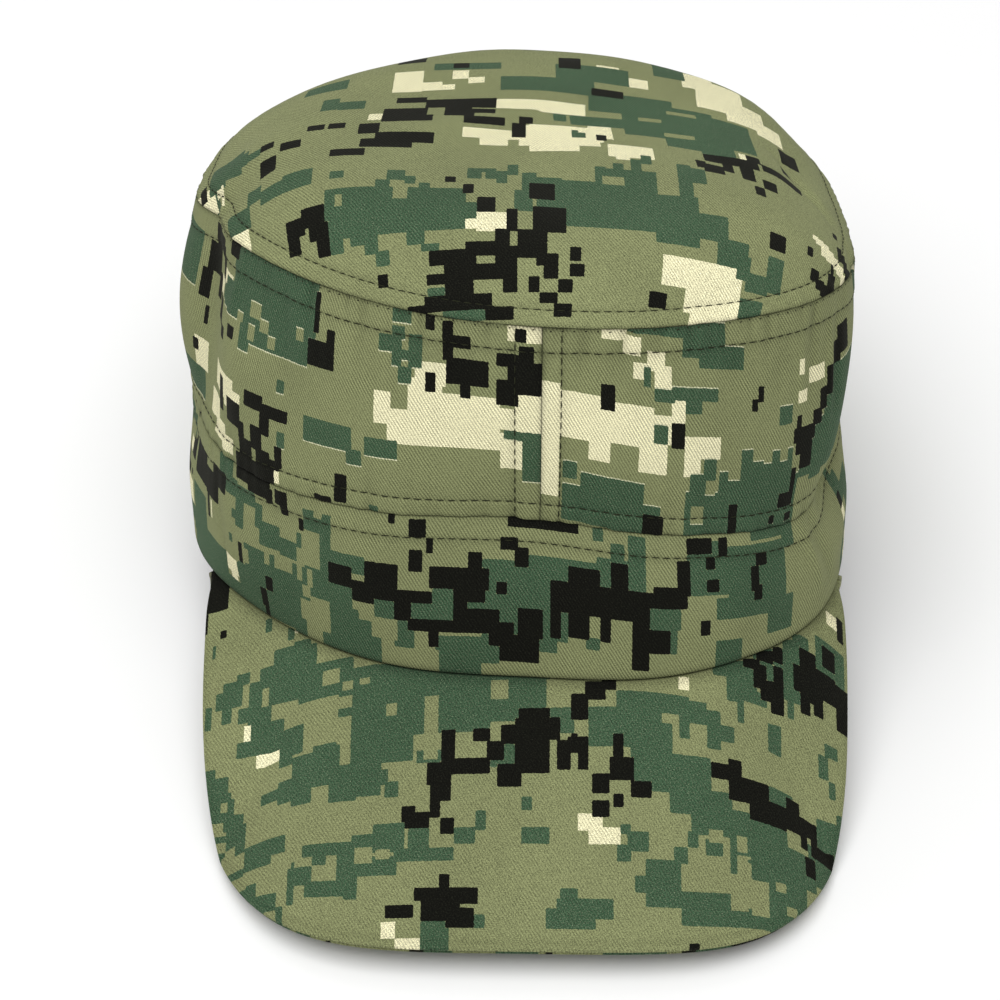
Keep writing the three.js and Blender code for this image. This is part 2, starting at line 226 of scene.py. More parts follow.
CHARTS: dict[Cut, Chart] = {
    Cut.LEFT: Chart(
        seen=(-4.0, -2.0, 102.0, 70.0),
        green=(
            (19, 59, 34, 64), (33, 56, 45, 64), (33.5, 54, 39, 58), (38, 51.5, 50, 58),
            (23, 45, 25.5, 50), (26, 41, 31.5, 45), (31, 42.5, 43.5, 46), (34.5, 39, 38.5, 43),
            (26, 30, 29.5, 35.5), (62, 35, 67, 40.5), (8.5, 2, 24, 17.5), (3.5, 14.5, 7, 19.5),
            (4, 2, 8, 13), (24, 8, 28.5, 11), (35, 0, 47, 16), (36, 15, 40.5, 22), (40, 17, 43.5, 26),
            (44, 15, 46.5, 22.5), (46, 0, 70, 20), (50, 18, 54, 29), (54, 18, 57.5, 25),
            (57.5, 18, 66, 24), (60, 22, 63, 28), (65.7, 18, 67.2, 27.5), (67, 15, 70, 20),
            (70, 17.8, 75, 21), (75, 16, 80, 34), (79, 18, 86, 40), (84, 20, 98, 46),
        ),
        black=(
            (12.8, 37.2, 16.2, 44.5), (30.8, 29.2, 34.2, 35.8), (54.6, 42.7, 57, 46.7),
            # The black boxes from (68, 28.5, 70.2, 36.5) to (70.5, 20.6, 75, 25) are black print and also
            # painted shade of a fold.
            (52.7, 39.5, 55, 43.2), (24, -1, 29.5, 8), (47.6, 4, 50.4, 13), (68, 28.5, 70.2, 36.5),
            (67.3, 28.8, 75.2, 33.3), (68.6, 24.8, 75, 29), (70.5, 20.6, 75, 25), (75, 32, 78.5, 37),
            (77.5, 36, 80.5, 42), (80, 40, 85, 47.5), (84.5, 45.5, 88, 52), (87.5, 48, 93, 56),
            (64, 10.3, 69.2, 14.8), (67.8, 14.5, 68.9, 22), (61, 5.5, 63.3, 7.7), (66.5, 5.5, 69, 8.5),
            (94, 6, 97, 14),
        ),
        cream=(
            (12.5, 57, 18.5, 61), (18, 53, 22.5, 58.5), (20.5, 46.5, 24, 51), (24.5, 49.5, 28.5, 55),
            (26, 44, 31, 51), (2, 27, 13, 40.5), (13, 27.5, 26.5, 39.5), (9.5, 22, 15, 28),
            (22.5, 21, 29.5, 30), (26.5, 30, 34.5, 37.5), (31, 36, 34.5, 43), (34.5, 26.5, 44, 32.5),
            (34, 21, 39, 28), (-4, 8.5, 2.3, 42.5), (72.8, 44.9, 79.4, 49.3), (68.7, 40.8, 71.8, 44.3),
            # This cream box is a painted highlight on a pucker, not print.
            (68.8, 49, 69.9, 52.9),
        ),
        bare=(
            (40.5, 15, 43, 20), (37, 6.5, 40.7, 12), (70, 0, 84, 15.5),
        ),
    ),
    Cut.RIGHT: Chart(
        seen=(-140.0, -2.0, 4.0, 70.0),
        green=(
            (-97, 44, -62.5, 62), (-91.5, 34, -87.5, 45), (-88, 36.5, -64.5, 46), (-39.5, 54, -34, 57.5),
            (-40, 49.5, -36, 53.5), (-43, 46, -36.5, 50), (-35, 42, -31.5, 51), (-37, 44, -34, 47),
            (-40, 42, -37, 45.5), (-38, 37.5, -34, 42), (-65.5, 16.5, -50.5, 23), (-47, 16, -37.5, 22),
            (-52, 12.5, -47.5, 17.5), (-10.5, 24.5, 3, 26.7), (-6.5, 11.5, 3, 26), (-46, 0, -43.5, 2.2),
            (-75, 12, -72, 16), (-140, 38, -126, 53), (-103, 42, -97, 50), (-100, 41, -92, 46),
            (-104, 43, -100, 48), (-76, 27.3, -73.3, 30.3), (-136, 6, -119, 15),
        ),
        black=(
            (-25.5, 38.5, -14, 45.5), (-26.5, 45, -23, 56), (-24, 49, -19, 52.3),
            (-30.2, 53.5, -27.5, 58.5), (-21.5, 35, -18.5, 39), (-31, 36, -28, 41.5),
            (-10, 34.5, -7.6, 49), (-12.7, 45, -10, 48.5), (-12.7, 34.5, -8, 41), (-7.4, 37.5, -3.5, 51),
            (-4, 37.5, -0.8, 47), (-7.8, 52.3, -5, 55.7), (-64.5, 38, -56, 45),
            (-58.2, 43.5, -55.5, 48.7), (-63, 47, -61, 58), (-56, 1.3, -51.8, 8.9), (-62, -1, -57, 1.8),
            (-101, 57, -95, 61), (-119, 52, -106, 58.5), (-122, 44, -114, 52), (-108.5, 47, -105, 57),
            (-124.5, 36, -119.5, 44), (-115.5, 38.5, -112, 45.5), (-110.5, 35.5, -104, 42.5),
            (-121, 28.5, -118.5, 34.5), (-104, 32, -101, 36), (-97.8, 35, -94.6, 38.7),
            (-125, 20, -122.5, 23.5), (-102.5, 13, -99.3, 22.5), (-96, 11.5, -89, 18.5),
            (-90, 8, -87.5, 14), (-87.2, 20, -80, 24), (-81, 19.3, -71.5, 22.2), (-81, 13.5, -77, 20),
            (-85, 8.5, -80, 15), (-75.3, 5, -73.2, 11.5), (-90, 3, -84.8, 9.5), (-82.8, 0, -77, 8.7),
            (-77.2, 4.8, -74, 7), (-92, -1, -76, 4.5),
        ),
        cream=(
            (-33, 38, -25.5, 44.2), (-40.5, 20.5, -11.5, 31), (-35, 30, -26.5, 40), (-27, 30, -12, 36),
            (-15, 27, -7.5, 33), (-44.2, 26.5, -40, 35), (-8, 27, 3, 37.5), (-11.5, 15.5, -6.5, 26),
            (-9.5, 52, 3, 57), (-108.5, 46.5, -98.5, 51), (-111.5, 41.5, -106, 47), (-124, 15, -117, 24),
            (-108, 17.5, -98, 24), (-98.5, 15.5, -92.5, 24.5), (-92.5, 18.5, -89.5, 21.5),
            (-112, 7, -103, 14), (-106, 3.5, -98, 9), (-99.5, 1.5, -94, 6), (-76.2, 1, -74, 4.8),
        ),
        bare=(
            (-69.7, 43.3, -66.2, 46.5), (-36.5, 43.2, -35, 44.2), (-20.5, 36.5, -14, 38.5),
            (-88.3, 43.8, -83.9, 48.3), (-83.5, 41.3, -79.7, 45), (-88, 38, -85.3, 42),
            (-80.3, 38, -77.7, 41.5), (-93.5, 41, -91.3, 44.2),
        ),
    ),
    Cut.BAND: Chart(
        seen=(-124.0, -50.0, 104.0, 2.0),
        green=(
            (-57, -19, -47, -13.5), (-66, -34, -50, -21), (-60, -46, -42, -30), (-16, -34, 5, -12),
            (-29, -27, -23.5, -20), (-44, -31, -39, -25.5), (-38.5, -39, -33, -31),
            (-34.5, -29.5, -23.5, -21.5), (-27.5, -47, -11.5, -34), (-20, -27, -15.5, -23.5),
            (-7, -22, 17, -9.7), (13, -20, 25, -8), (21, -8, 25.5, -1), (16, -8, 20, -4),
            (11.5, -3.3, 14.5, 0), (36.3, -17, 48, -2), (-3.5, -38, 3, -30), (10, -35, 13.5, -31.5),
            (26, -27, 34, -18.5), (31, -34.5, 33.7, -27), (48, -24, 67, -4), (44, -24.5, 51, -18),
            (60, -31, 69, -20), (44, -42, 52, -31), (66, -6, 70, 0), (55, -3, 70, 0),
            (-101, -7, -93.5, 1), (-97, -9.5, -91, -4.5), (-91.5, -18, -88.2, -5.5),
            (-88.5, -9.5, -84, -5.5), (-84, -15, -81.3, -8.5), (-82, -20, -74.5, -12.2),
            (-75, -21, -68.3, -15), (-88, -42, -70, -21.5), (-95.8, -24.5, -93.7, -21.5),
            (-93.5, -16, -90, -13.5), (-113, -46, -99, -29.5), (-124, -46, -112.5, -20),
            (-100, -50, -87, -37), (-92.6, -38, -87, -30),
            (-68.8, -16.3, -67, -11.5), (-65.3, -9.5, -62.3, -3.5), (-62.5, -9.5, -57, -5.3),
            (-59.7, -6, -57, -3.2), (-60.3, -20.5, -56.8, -6), (-70.5, -46, -66, -22),
            (-91.5, -42, -87, -29),
        ),
        black=(
            (-57.5, -23, -50, -17.3), (-46.5, -25, -38, -14.3), (-50, -27, -44, -20.5),
            (-44, -25.5, -28.5, -21.7), (-30, -20.6, -14, -14.3), (-19.5, -15, -15.8, -10.3),
            (-20, -24, -15.5, -20), (-23.5, -30.5, -20, -20), (-35, -6, -31, -1.3),
            (-35.3, -16.2, -31.4, -10.3), (-30.3, -11.2, -28.4, -6.6), (-40.7, -3, -39, -0.3),
            (-11.3, -9, -7.3, -5.2), (-8, -13.2, -4.6, -8.2), (-10, -3, 8, 0.5),
            (-12.7, -21.3, -9.8, -17.7), (-38.5, -30.5, -34.5, -25.3), (-35, -33.5, -8, -29.5),
            (-20, -30.5, -12, -26.5), (-29.5, -38, -27.3, -33), (-14.5, -37, -4, -33),
            (-12, -41, -2, -33), (-7, -34, -1.3, -25.5), (5.5, -20, 13.5, -12), (16.2, -16.5, 21, -9),
            (36, -5, 43, -1), (45, -6, 47.3, -1.3), (41.3, -10, 44.2, -6), (33, -17, 37, -7.3),
            (27, -21, 36, -14.3), (54.5, -17, 57.3, -10), (57, -10.3, 60, -6), (56, -19.7, 58.7, -15),
            (1.3, -25.3, 22, -16), (1.3, -33, 3.6, -25), (5.2, -32, 10.8, -25),
            (13.4, -32.5, 16.2, -24.5), (22, -21, 32, -16.3), (21.8, -39.3, 26, -20.5),
            (25.5, -34.6, 31.7, -27), (39.6, -28.6, 42.1, -24.4), (41.4, -16.6, 45, -12.8),
            (-122, -16, -111.5, -6.5), (-112, -17.5, -103, -9), (-106.5, -12, -97.3, -5),
            (-111, -24, -108.6, -17), (-79.9, -33.5, -77.6, -28.6), (-83, -39.5, -80.4, -33.3),
            (-81.9, -43, -79.8, -38.5), (-91.1, -28.6, -89.5, -22.3), (-67.2, -11, -65.7, -7.4),
            (-92, -3.5, -84, 1), (-86, -5, -77, 1), (-79, -6.2, -76.6, -2), (-75.4, -5.5, -71.2, -1),
            (-73.8, -8.5, -70.8, -4.5),
        ),
        cream=(
            (43.4, -13.2, 46.9, -5.8), (-108.4, -23, -107.3, -18), (-99.2, -35.5, -92.4, -30),
            (-97, -39, -93.4, -35),
        ),
        bare=(
            (-49, -32, -44.5, -27.5), (-45, -37, -38, -30.5), (-42, -47, -27, -39),
            (-33, -40, -29.4, -33.5), (10.8, -31.3, 13.4, -26), (16.3, -44, 21.7, -25),
            (-16, -50, 0, -42), (-76.3, -25.6, -70.3, -21), (-80, -25.5, -78.7, -20.5),
            (-88.4, -28, -86.2, -23.7), (-68, -26, -66.3, -22), (-64.8, -27, -62.9, -21.5),
            (-66.3, -31, -64.3, -27), (-67.4, -37.5, -63.6, -31.5), (-64, -39.5, -57.6, -30),
        ),
    ),
    Cut.TOP: Chart(
        seen=(-95.0, -118.0, 95.0, 58.0),
        green=(
            (-50, -82, -30, -64), (-30, -82, -15.5, -64), (-16.5, -78, -12.3, -71),
            (-30, -86.5, -25.5, -80), (-44, -85, -37, -78), (-51.5, -86, -46, -71),
            (-35, -60, -30.5, -54), (-38, -64.5, -34.3, -60), (-30.7, -61.7, -28.3, -57.3),
            (-26.6, -66, -24.2, -61.3), (-40.2, -88, -37, -83.8), (-38, -93, -34, -87.3),
            (-15, -57.5, -11.6, -50), (-10.6, -57.7, -8.3, -50), (-13, -53, -9, -50),
            (-7.8, -60, -5, -52), (-5.2, -54.5, -2.6, -47.3), (-3.8, -75, 1, -64), (-1.5, -66, 2, -53),
            (2, -82, 8, -56), (8, -80.5, 31.5, -57), (16, -58, 19, -47.8), (19, -58, 31.5, -49),
            (25, -49.2, 28.3, -41), (20.3, -50, 23.3, -44.7), (31, -84, 41, -61), (37, -62, 40.2, -41),
            (40, -53, 44, -43), (40.5, -80, 49, -69.5), (46, -88, 54, -78), (51.7, -92, 54.7, -83),
            (54.3, -95, 60, -88), (59.3, -93.5, 63.7, -80), (53.3, -105.5, 59, -98), (35, 34, 44, 54),
            (7, 20, 28, 34), (-8, 7, 18, 20), (16, -4, 30, 8), (25, -20, 40, 12), (36, -26, 50, 6),
            (47, -22, 60, 4), (11, -15, 27, -8), (10.8, -26.5, 14.2, -19.5), (6.3, -13.3, 10.2, -7.7),
            (50, -28, 54.3, -21), (45, -33, 50, -26), (-55.5, -5, -51, 6), (-51, -6, -44, 2),
            (-62, 16, -50, 28), (-49.7, -58.3, -46, -53.7), (-25.7, -89.3, -21.5, -86),
            (-25.3, -105, -20.3, -101.3), (-22, -113.3, -10.3, -108.7), (-27, 28, -8, 36),
            (28, -44, 31, -38), (-68.7, -59.5, -54.2, -52.5), (-62, -56, -54.2, -50),
            (-72.5, -56, -68.3, -48), (-80, -65.5, -72.2, -55.5), (-86.5, -38, -80, -18),
            (-81, -34, -75, -17), (-77, -31, -73, -21.5), (-73, -30, -69, -25.5), (-86, -48, -82.5, -34),
        ),
        black=(
            (-36, -2.2, -27.5, 3.2), (-39, -19, -27, -7), (-28, -7, -9.3, 1), (-22.5, -14, -15, -5),
            (-17.2, -20.2, -6.3, -14), (-17.2, -14, -14, -9), (-15, -12, -9.3, -7.8),
            (-33, -19, -25, -13.8), (-44.2, -28.2, -39, -20), (-40, -34, -24.3, -26.8),
            (-43, -38, -30, -31.8), (-50.5, -44, -41, -38.8), (-4.6, -27.2, -1, -16.8),
            (-2.6, -17.2, 1.2, -12.3), (-57.2, -22.3, -53, -17.8), (-52, -22.7, -48, -18.3),
            (-20.7, -60.7, -17.8, -56.8), (-16.2, -66.2, -13.3, -61.3), (-12.5, -75.7, -7.7, -68.8),
            (-5.8, -83.2, -2.8, -73.8), (-8, -90.2, -4.8, -82.3), (0.7, -82.7, 8.6, -71.8),
            (0.4, -68.7, 6.2, -59.8), (-2.6, -92.7, 4.6, -81.8), (-8.2, -92.7, 0, -88.3),
            (-15.7, -92.2, -7.8, -86.3), (-24.6, -94.7, -13, -88.8), (-20.7, -105.2, -13.3, -93.8),
            (-13.6, -100.2, -2.8, -94.8), (-8.2, -100.2, -2.8, -90.8), (-6.2, -104.2, -3.1, -99.8),
            (-25.2, -101.2, -19.8, -96.8), (-25.7, -110.2, -9.3, -104.8), (-10.7, -113.7, -3.3, -108.8),
            (-30.2, -110.2, -25, -107.3), (-37.7, -100.2, -34.8, -95.3), (-0.2, -104.2, 2.7, -99.3),
            (1.8, -95.7, 7.4, -90.8), (3.3, -99.7, 7.2, -94.8), (7.1, -104.2, 10.7, -99.8),
            (3.1, -108.2, 7.2, -104), (6.3, -112.2, 10.4, -108.2), (9.8, -93.2, 12.8, -88.5),
            (10.3, -98.7, 13.5, -94.1), (16.8, -28.2, 20.2, -22.3), (17, 8, 26, 14),
            (42.3, -41.2, 44.7, -34.8), (45.3, -33.8, 59.2, -28.3), (49.3, -40.2, 52.2, -32.8),
            (54.3, -43.2, 57.2, -33.8), (44.3, -44.2, 49.7, -37.3), (56.8, -29.2, 60.2, -23.8),
            (60.3, -33.2, 71.2, -27.8), (56.3, -52.2, 59.2, -45.8), (59.8, -46.2, 62.7, -39.8),
            (59.8, -77.2, 64.2, -70.3), (66.8, -24.2, 70.2, -17.8), (68.8, -11.2, 74.2, 0.2),
            (29.8, -106.7, 33.9, -101.3), (72.3, -82.6, 75, -77.2), (75.5, -87.6, 79.7, -82.3),
            (73.8, -85.2, 76.6, -81.4), (70.3, -73, 72.2, -68.6),
            (77.3, -83, 80, -76), (78.2, -76.3, 79.4, -70), (80.4, -51.8, 81.8, -48.8),
            (81.2, -65.5, 82.4, -56.5), (82, -63.5, 83.8, -59), (82.6, -70, 84.6, -63.2),
            (84, -72.6, 86, -66),
            (-22, 30, -17, 36), (8, 30, 14, 42),
            (-38, 40, -30, 50), (-89.8, -39, -87, -30), (-69, -29, -65.3, -24),
            (-64.2, -33.7, -58.2, -28), (-69.7, -43.5, -64.8, -34.5), (-61.4, -78, -56, -71.8),
            (-57, -76.5, -50.6, -69.5), (-61, -83.8, -57.8, -74), (-55, -81, -52.8, -75),
            (-53, -86.3, -49.6, -76),
        ),
        cream=(
            (-37.7, 9, -29.3, 28.2), (-29.7, 10, -24.3, 17.2), (-24, 10, -21, 14), (-22, 19, -17, 27),
            (-17, 14, -13, 20), (-8.7, -7, 8, 0.2), (3, -8, 15.2, 0), (-16.7, -29.2, -3, -22.8),
            (-3, -33, 18, -17.8), (0, -38.2, 13, -17), (9, -30, 19, -17), (15.3, -26, 21.2, -14.8),
            (-12.7, -33.2, -5, -27.8), (19.8, -40.2, 31.2, -31), (22, -42.5, 25.2, -36), (43, 28, 52, 46),
            (47, 12, 60, 40), (55, 5, 66, 24), (63, 2, 70, 14), (32.3, -99.2, 40, -87.8),
            (38.5, -107, 53.2, -87.8), (40.3, -112, 53.2, -99), (19, 28, 25.2, 36), (28, 20, 33.2, 28.2),
            (71.7, -63, 73.5, -60), (73, -65.2, 75.2, -61), (74.8, -69.4, 77.2, -62.2),
            (76.5, -70.6, 79.3, -63.8), (79, -72, 80.6, -65.6), (80.2, -73.6, 82.4, -68.6),
            (81.6, -77, 84, -71.2),
            (55, -31, 58.2, -23.8),
            (-42.2, -17.2, -38.3, -11.8), (-12.2, -82.7, -5.8, -75.3), (-15.7, -82.2, -12, -77.8),
            (-79.5, -84, -72.6, -65), (-92, -60, -86.3, -33), (-86, -46, -85, -38),
            (-83.3, -41.5, -82.3, -36.5), (-81.7, -47, -80.7, -36),
        ),
        bare=(
            (18, -58, 23.2, -53), (-33, -69, -29.8, -63.5), (-47.5, -71, -45.5, -67), (30, -8, 36, -5),
            (38, 0, 46, 3), (36, -18, 44, -15), (12.5, -22, 14.5, -20), (-86.2, -46, -85, -38),
            (-83.3, -41.5, -82.3, -36.5), (-81.7, -47, -80.7, -36),
        ),
    ),
    Cut.PEAK_UPPER: Chart(
        seen=(-95.0, -96.0, 95.0, 74.0),
        green=(
            (-46, -30.4, -37, -19.4), (-45, -21.5, -29, 8), (-37.7, -28.2, -34.8, -23.8),
            (-35.7, -31.7, -32.3, -26.8), (-39, -46.7, -31, -38.8), (-29.7, -49.2, -24.3, -39.3),
            (-33.7, -49.7, -24.3, -44.5), (-44.2, -44.6, -38.8, -41.2), (-43.7, -53.4, -32.3, -48),
            (-18.2, -45.2, -12.3, -40.8), (-12.9, -41.2, -9.8, -36.3), (-24.2, -49.2, -17.8, -45.8),
            (-26.2, -76, -18.8, -65.3), (-13.2, -67.2, -9.5, -64.3), (-5.9, -24.2, -1.8, -16.8),
            (-9.7, -24.2, -5.8, -21.8), (-27.7, -22.2, -21.8, -18.8), (-40, -14, -9, 8), (-10, -12, 6, 6),
            (5, -15.7, 13, -8), (16.3, -19.2, 34, -8), (23, -14, 35, -3.8), (33, -9.2, 42, -3.8),
            (27, -30.5, 38, -12), (37, -35.7, 48, -19.5), (30.3, -61.2, 40, -48.3),
            (27.8, -57.2, 30.7, -52.8), (26.3, -47.2, 31.2, -41.8), (24.3, -42.2, 26.9, -39.3),
            (23.8, -49.2, 26.7, -45.3), (37.8, -49.5, 41.7, -45.1), (41.3, -45.2, 44.2, -40.3),
            (9.3, -60.2, 13.2, -56.3), (7.8, -65.2, 22.2, -59.3), (5.5, -67.2, 17.7, -61.8),
            (-0.7, -44.7, 6, -40.6), (-1.2, -36.2, 1.5, -32.6), (39.8, -15.6, 42.7, -9.2),
            (-84, 21.6, -82.4, 25.8), (-69.3, 25.3, -67.3, 30), (-63, 20.5, -61.5, 25),
            (-66.5, 1.8, -61.5, 18.5), (-61.5, 1, -57, 19.5), (-57, 0.6, -54.5, 17.7),
            (-54.5, 0.4, -45, 12), (-70, 0, -66.3, 14), (-73.2, -2, -69.3, 10.5),
            (-79.8, 4.2, -74.8, 12.5), (-76.5, 10.5, -73.3, 14.8), (-81.8, 4.8, -79.5, 9.6),
            (-80.3, -0.4, -77.8, 4.5), (-84.2, -0.8, -82.4, 6.5), (-75.2, -0.6, -72, 4),
            (-71.8, -10.6, -63, 1.5), (-63.3, -14, -57.9, -5), (-75.2, -11, -71.3, -6.6),
            (-64.3, -17, -60.2, -8), (-60.2, -31, -54.8, -15), (-55, -26.5, -50.7, -13.7),
            (-50.8, -31.5, -43.5, -13.5), (-63.8, -28.5, -60, -21.3), (-68.7, -27.4, -63.6, -23.8),
            (-85, -25.5, -81, -13), (-81, -20.5, -77.6, -15.3), (-82.6, -27.6, -76.5, -19.6),
            (-76.6, -27.5, -75.3, -22), (-78.3, -31, -72.9, -26), (-77.3, -36, -72.2, -30),
            (-81, -40, -77.3, -31.5), (-74.8, -40, -72.2, -34), (-72.3, -46.5, -64.8, -38.3),
            (-64.9, -44, -61.3, -39), (-77.5, -47.6, -71.6, -44.7), (-74, -57, -70, -52.4),
            (-71.3, -55.5, -68.6, -51.5), (-69.8, -61.5, -62.9, -56), (-63.4, -65.4, -60.9, -60.3),
            (-60.4, -60.4, -58.2, -54), (-59.9, -55, -53.8, -49.8), (-59.7, -50, -58.2, -48),
            (-56.3, -46.8, -48, -43), (-54.2, -49.3, -50.8, -45.5), (-47.8, -58.8, -43.4, -43),
            (-55.4, -58.3, -46, -53.9), (-46.2, -59.5, -42, -53), (-49, -6.5, -45, -3.5),
            (41, -11, 47.2, -4.8), (48.8, 3.5, 60, 9), (52.3, -1.8, 60, 4), (59.3, -1.8, 62.7, 1.5),
            (62.7, 3, 64.8, 11), (59, 8, 68, 14), (47, -17.5, 50.1, -6), (50, -14, 53.8, -9.8),
            (54.6, -8.3, 56.5, -1.5), (52, -3, 55, -1), (63.2, -13.6, 66.4, -5), (67.5, 2, 72, 19),
            (68.5, -3, 70.3, 2), (69.8, 17.5, 75, 21.5), (76.5, 13.5, 85, 24), (78.2, -9, 82.2, -5.3),
            (76.2, -15.6, 79, -9), (79, -19.6, 81.2, -15.4), (42, -41, 47.6, -24),
            (47.6, -41, 52.5, -28.6), (52.4, -46, 58.2, -31), (58, -50, 74.5, -35), (74, -48, 80, -38),
            (75.6, -40, 83, -26.5), (80.6, -27, 84, -23.4), (62.6, -28.5, 69, -23),
            (46, -47, 50.4, -42.5), (51.8, -51, 54.2, -45.5), (57, -56, 72, -47), (62, -66, 72, -55),
            (56.5, -66, 62, -60.5), (40, -66, 52, -57), (52, -66, 56.5, -60.8),
        ),
        black=(
            (-22, -22.2, -17.8, -13.8), (-25.5, -29.2, -18.6, -22.3), (-24.5, -33.7, -18.8, -28.3),
            (-24.7, -37.7, -21.3, -32.8), (-31.2, -38.7, -27.8, -34.3), (-30.2, -40.2, -24.3, -35.8),
            (-19, -25.7, -9.3, -21.3), (-10, -22.2, -5.8, -16.8), (-13.2, -17.2, -8.8, -13.1),
            (-6.8, -29.7, -0.8, -23.8), (-2.6, -25.7, 6.2, -11), (-5.9, -17.7, -2.2, -12.6),
            (-21.7, -42.7, -18.3, -37.6), (-21.7, -58.2, -18.8, -53.3), (-28, -60.7, -24.4, -56.3),
            (-24.8, -61.2, -11.8, -56.3), (-26.2, -65.7, -16.3, -58.3), (-20.2, -67.2, -12.8, -61.8),
            (-34.9, -65.2, -27.8, -61.3), (-1.9, -17.2, 8.9, -10.8), (7.8, -25.2, 11.5, -17.3),
            (11, -21, 16.2, -16.5), (13.2, -25.2, 16.2, -17.3), (11.3, -18.2, 13.7, -15.3),
            (22.1, -23, 25, -15.3), (21.5, -28.2, 27.7, -21.8), (17.1, -31.2, 21.2, -26.3),
            (17.1, -37.4, 21.2, -33), (22.8, -35.2, 25.5, -31.8), (27.1, -32.7, 32.2, -28.3),
            (41.8, -72.7, 44.2, -69.8), (15.3, -6.7, 20.7, -0.8), (19.8, -3.2, 23.2, 0.2),
            (11.3, -11.7, 16.2, -4.8), (-2.2, -14.2, 5.9, -8.3), (-90, 38, -80.5, 62),
            (-90, 31, -85.3, 38.5), (-81.8, 27.6, -79.8, 31), (82.6, 27.5, 84.6, 36),
            (78.6, 15.8, 82, 22.5), (71.8, 3.2, 76.8, 18.3), (69.8, 5.5, 72, 12.5), (76.5, 6.3, 82, 14.5),
            (75.6, 0.8, 78, 7), (71.8, 0.2, 74.8, 4), (82, 0, 86.5, 13.5), (59, 2.8, 63.3, 8.8),
            (61, 0, 67.3, 5.6), (64.4, 5.5, 67.3, 10), (64.3, -2.5, 67.4, 0.2), (60.3, 10.3, 65, 13.5),
            (65, 11, 67.5, 15), (56.3, 7.6, 61.3, 10.3), (47.6, -25, 52, -20.8), (52, -25, 55.8, -18.8),
            (52.3, -30.6, 62.6, -23.2), (58, -35, 67.8, -28), (67.8, -34, 71.3, -24.2),
            (71, -33, 75.8, -27.6), (70.8, -38, 73, -32), (73.6, -38.5, 75.8, -33),
            (72.4, -45.5, 75, -39.5), (75.4, -39, 80.5, -34),
        ),
        cream=(
            (-35.7, -70.2, -32.3, -65.3), (-32.7, -75, -25.8, -69.8), (13.1, -41.2, 20.2, -36.6),
            (16.1, -45.2, 24.2, -40.3), (39.3, -1.5, 42.2, 1.4), (-61.6, 22.6, -60, 25.4),
            (-69.3, 8.3, -67.3, 11), (-74, -6.3, -72.2, -2.2), (-72.8, -9.9, -71.2, -7.8),
            (-70.6, -14.6, -64.3, -10.6), (-82, -22.6, -79.3, -21.2), (79.8, 30.8, 82.6, 35.2),
            (80.6, -28.8, 84, -26),
        ),
        bare=(
            (-36, -8, -33.5, -4.5), (-26.3, -22, -22.7, -3.8), (-9.2, -5.2, -4.8, 0.2),
            (-43, -49.3, -39, -44.6), (-37.5, -49, -33.8, -45.8), (5.6, -8, 9, 0), (8.8, -5, 15, 0),
            (24, -3, 30, 0), (-31, -46, -29.4, -40), (-53.2, 4.5, -48.5, 9), (-48, 2.2, -45, 4.8),
            (-43, 2.3, -40.8, 4.6), (-66.5, -1.5, -59.5, 2.7), (-63, -5.5, -57, 0.8),
            (-58, -12.5, -49, 0.6), (-49, -14, -45, -6.5), (-49, -3.5, -45.2, -0.8),
            (-47.8, -20.3, -44.8, -13), (-69.3, 3, -67.5, 8.3), (-78.8, -25.2, -77.5, -22.4),
            (-80, -36.3, -77.4, -33.3), (-78, -41, -74.8, -37.5), (49.3, -29, 52.4, -25),
            (53, -33.3, 58.2, -30.4), (46.8, -42.8, 50, -40), (54.3, -44.6, 56.6, -40.3),
            (67.8, -40, 72.8, -34.5), (58, -62, 62, -52.5), (64, -54, 66.8, -51.5),
            (67, -60.5, 69.6, -57.6), (54.2, -56, 57.2, -47.5),
        ),
    ),
    Cut.PEAK_UNDER: Chart(),
}


def smoothstep(low: float, high: float, value: np.ndarray) -> np.ndarray:
    """A smooth rise from 0 at low to 1 at high."""
    share = np.clip((value - low) / (high - low), 0.0, 1.0)
    return share * share * (3.0 - 2.0 * share)


def bell(distance: np.ndarray, reach: float) -> np.ndarray:
    """1 where the distance is 0, falling smoothly to 0."""
    return np.exp(-((distance / reach) ** 2))


def turn(start: float | np.ndarray, end: np.ndarray) -> np.ndarray:
    """The shortest way round from one angle to another, in degrees."""
    return np.mod(end - start + 540.0, FULL_TURN) - 180.0


def walked_along(points: np.ndarray) -> np.ndarray:
    """Length walked to each point of a line, from its first."""
    return np.concatenate([[0.0], np.cumsum(np.linalg.norm(np.diff(points, axis=0), axis=1))])


def ripples(u: np.ndarray, v: np.ndarray, length: float, seed: int, stretch: float = 1.0) -> np.ndarray:
    """Smooth uneven waves over a cloth.

    Args:
        u: Place along the cloth, in millimetres.
        v: Place up the cloth, in millimetres.
        length: Typical wave length, in millimetres.
        seed: Which of the endless patterns to draw.
        stretch: How many times longer the waves are along v than along u.

    Returns:
        Heights from about -1 to 1.
    """
    chance = np.random.default_rng(seed)
    total = np.zeros(np.broadcast(u, v).shape)
    waves = 9
    for _ in range(waves):
        heading = chance.uniform(0.0, math.tau)
        size = length * chance.uniform(0.7, 1.6)
        phase = chance.uniform(0.0, math.tau)
        total += np.sin(math.tau * (u * math.cos(heading) + v * math.sin(heading) / stretch) / size + phase)
    return total / math.sqrt(waves)


